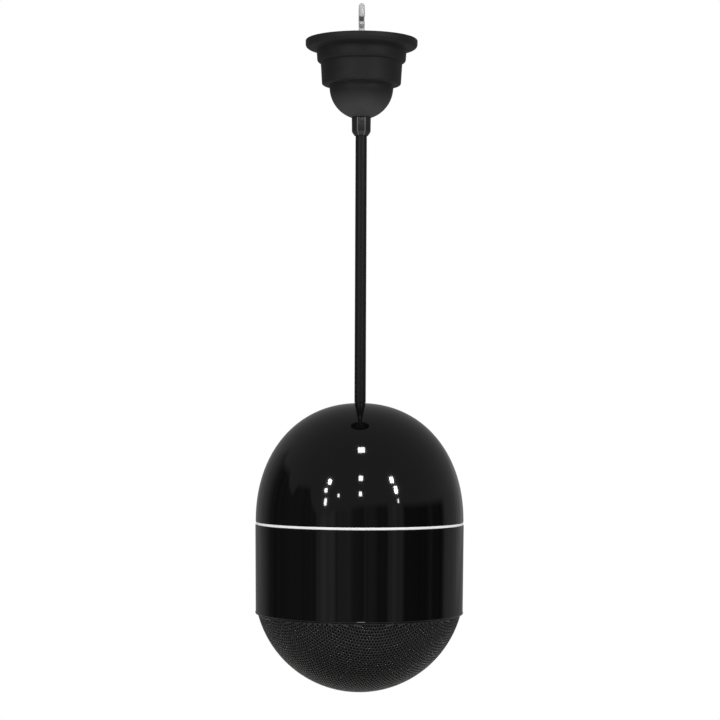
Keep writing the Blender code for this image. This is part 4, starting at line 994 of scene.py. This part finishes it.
bmesh.ops.recalc_face_normals(lattice, faces=lattice.faces)
bmesh.ops.solidify(lattice, geom=lattice.faces[:], thickness=MESH_SHEET)
centre = Vector((0, 0, GRILLE_CENTRE))
lips = [
    line
    for line in lattice.edges
    if min((v.co - centre).length for v in line.verts) > GRILLE_SPHERE_R - 0.0001
    and line.calc_face_angle(0) > MESH_CORNER
    and line.calc_length() < MESH_PITCH / 2
]
bmesh.ops.bevel(
    lattice, geom=lips, offset=MESH_LIP, segments=1, affect="EDGES", profile=0.5, material=-1
)
grille = add_piece("grille_mesh", lattice, mesh_black, 60)
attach(grille, "speaker")
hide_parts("grille")

# ---------------------------------------------------------------------------------------------
# Grille cloth: thin black woven cloth stretched over the inside of the mesh, which keeps dust
# off the driver.
CLOTH_R = 0.1026
CLOTH_TOP = -0.6053
CLOTH_THICKNESS = 0.0005


def woven(tree, threads, uneven=0.0, detail=2.0):
    """A plain weave of warp and weft, as a height pattern."""
    settings = {"Scale": threads, "Distortion": uneven, "Detail": detail}
    warp, weft = (
        add_node(tree, "TexWave", {"Vector": object_place(tree), **settings}, bands_direction=axis)
        for axis in "XY"
    )
    return maths(tree, "MULTIPLY", warp.outputs[1], weft.outputs[1])


cloth_black, tree, shader = new_finish(
    "grille_cloth_black", grey(0.008), 0.85, Sheen_Weight=0.15, Sheen_Roughness=0.5
)
weave = woven(tree, 320.0, uneven=0.6, detail=1.0)
coloured(tree, shader, weave, grey(0.008), grey(0.024))
raised(tree, shader, weave, 0.0002, 0.6)

cloth_drop = GRILLE_CENTRE - CLOTH_TOP
top_angle = math.degrees(math.asin(cloth_drop / CLOTH_R))
cloth_profile = arc(0, GRILLE_CENTRE, CLOTH_R, -top_angle, -90, 48)
cloth_profile[-1] = (0.0, GRILLE_CENTRE - CLOTH_R)
cloth = add_piece("grille_cloth_sheet", spun(cloth_profile, 96, closed=False), cloth_black, 60)
thick = cloth.modifiers.new("cloth", "SOLIDIFY")
thick.thickness = CLOTH_THICKNESS
thick.offset = -1
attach(cloth, "speaker")
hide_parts("grille_cloth")

# ---------------------------------------------------------------------------------------------
# Driver: a pressed steel basket in satin black with a rubber gasket and surround, a coated
# paper cone with a dust cap, a corrugated cloth spider and a copper coil on an amber former.
paper, tree, shader = new_finish("cone_paper", grey(0.040), 0.80)
fibre = add_noise(tree, 700, 6, (1, 1, 0.4), 0.7)
coloured(tree, shader, fibre, grey(0.026), (0.062, 0.061, 0.058))
raised(tree, shader, fibre, 0.0001, 0.6)

spider_cloth, tree, shader = new_finish("spider_cloth", (0.62, 0.45, 0.20), 0.85)
weave = woven(tree, 260.0)
coloured(tree, shader, weave, (0.40, 0.27, 0.10), (0.66, 0.48, 0.22))
raised(tree, shader, weave, 0.0002, 0.6)

amber, tree, shader = new_finish("amber_film", (0.45, 0.25, 0.06), 0.40)
coloured(tree, shader, add_noise(tree, 300, 3), (0.38, 0.20, 0.04), (0.50, 0.29, 0.08))

copper, tree, shader = new_finish("copper_wire", (0.72, 0.35, 0.20), 0.30, 1.0)
turns_of_wire = add_node(
    tree, "TexWave", {"Vector": object_place(tree), "Scale": 1100.0}, bands_direction="Z"
).outputs[1]
coloured(tree, shader, turns_of_wire, (0.40, 0.16, 0.08), (0.76, 0.38, 0.22))
raised(tree, shader, turns_of_wire, 0.0002, 0.7)

ferrite, tree, shader = new_finish("ferrite", (0.050, 0.050, 0.052), 0.62)
grit = add_noise(tree, 1200, 5)
coloured(tree, shader, grit, (0.034, 0.034, 0.036), (0.075, 0.074, 0.072))
raised(tree, shader, grit, 0.00008, 0.6)

phenolic, tree, shader = new_finish("phenolic_board", (0.30, 0.16, 0.07), 0.50)
layers = add_noise(tree, 500, 4, (1, 4, 1))
coloured(tree, shader, layers, (0.22, 0.11, 0.04), (0.34, 0.19, 0.09))

dress(["driver_gasket", "surround"], rubber)
dress(["basket"], satin_black)
dress(["driver_screw_1", "driver_screw_2", "driver_screw_3", "driver_screw_4"], zinc)
dress(["cone", "dust_cap"], paper)
dress(["spider"], spider_cloth)
dress(["coil_former"], amber)
dress(["coil_winding"], copper)
dress(["top_plate", "back_plate"], zinc)
dress(["magnet"], ferrite)
dress(["terminal_strip"], phenolic)
dress(["solder_tag_1", "solder_tag_2"], brass)
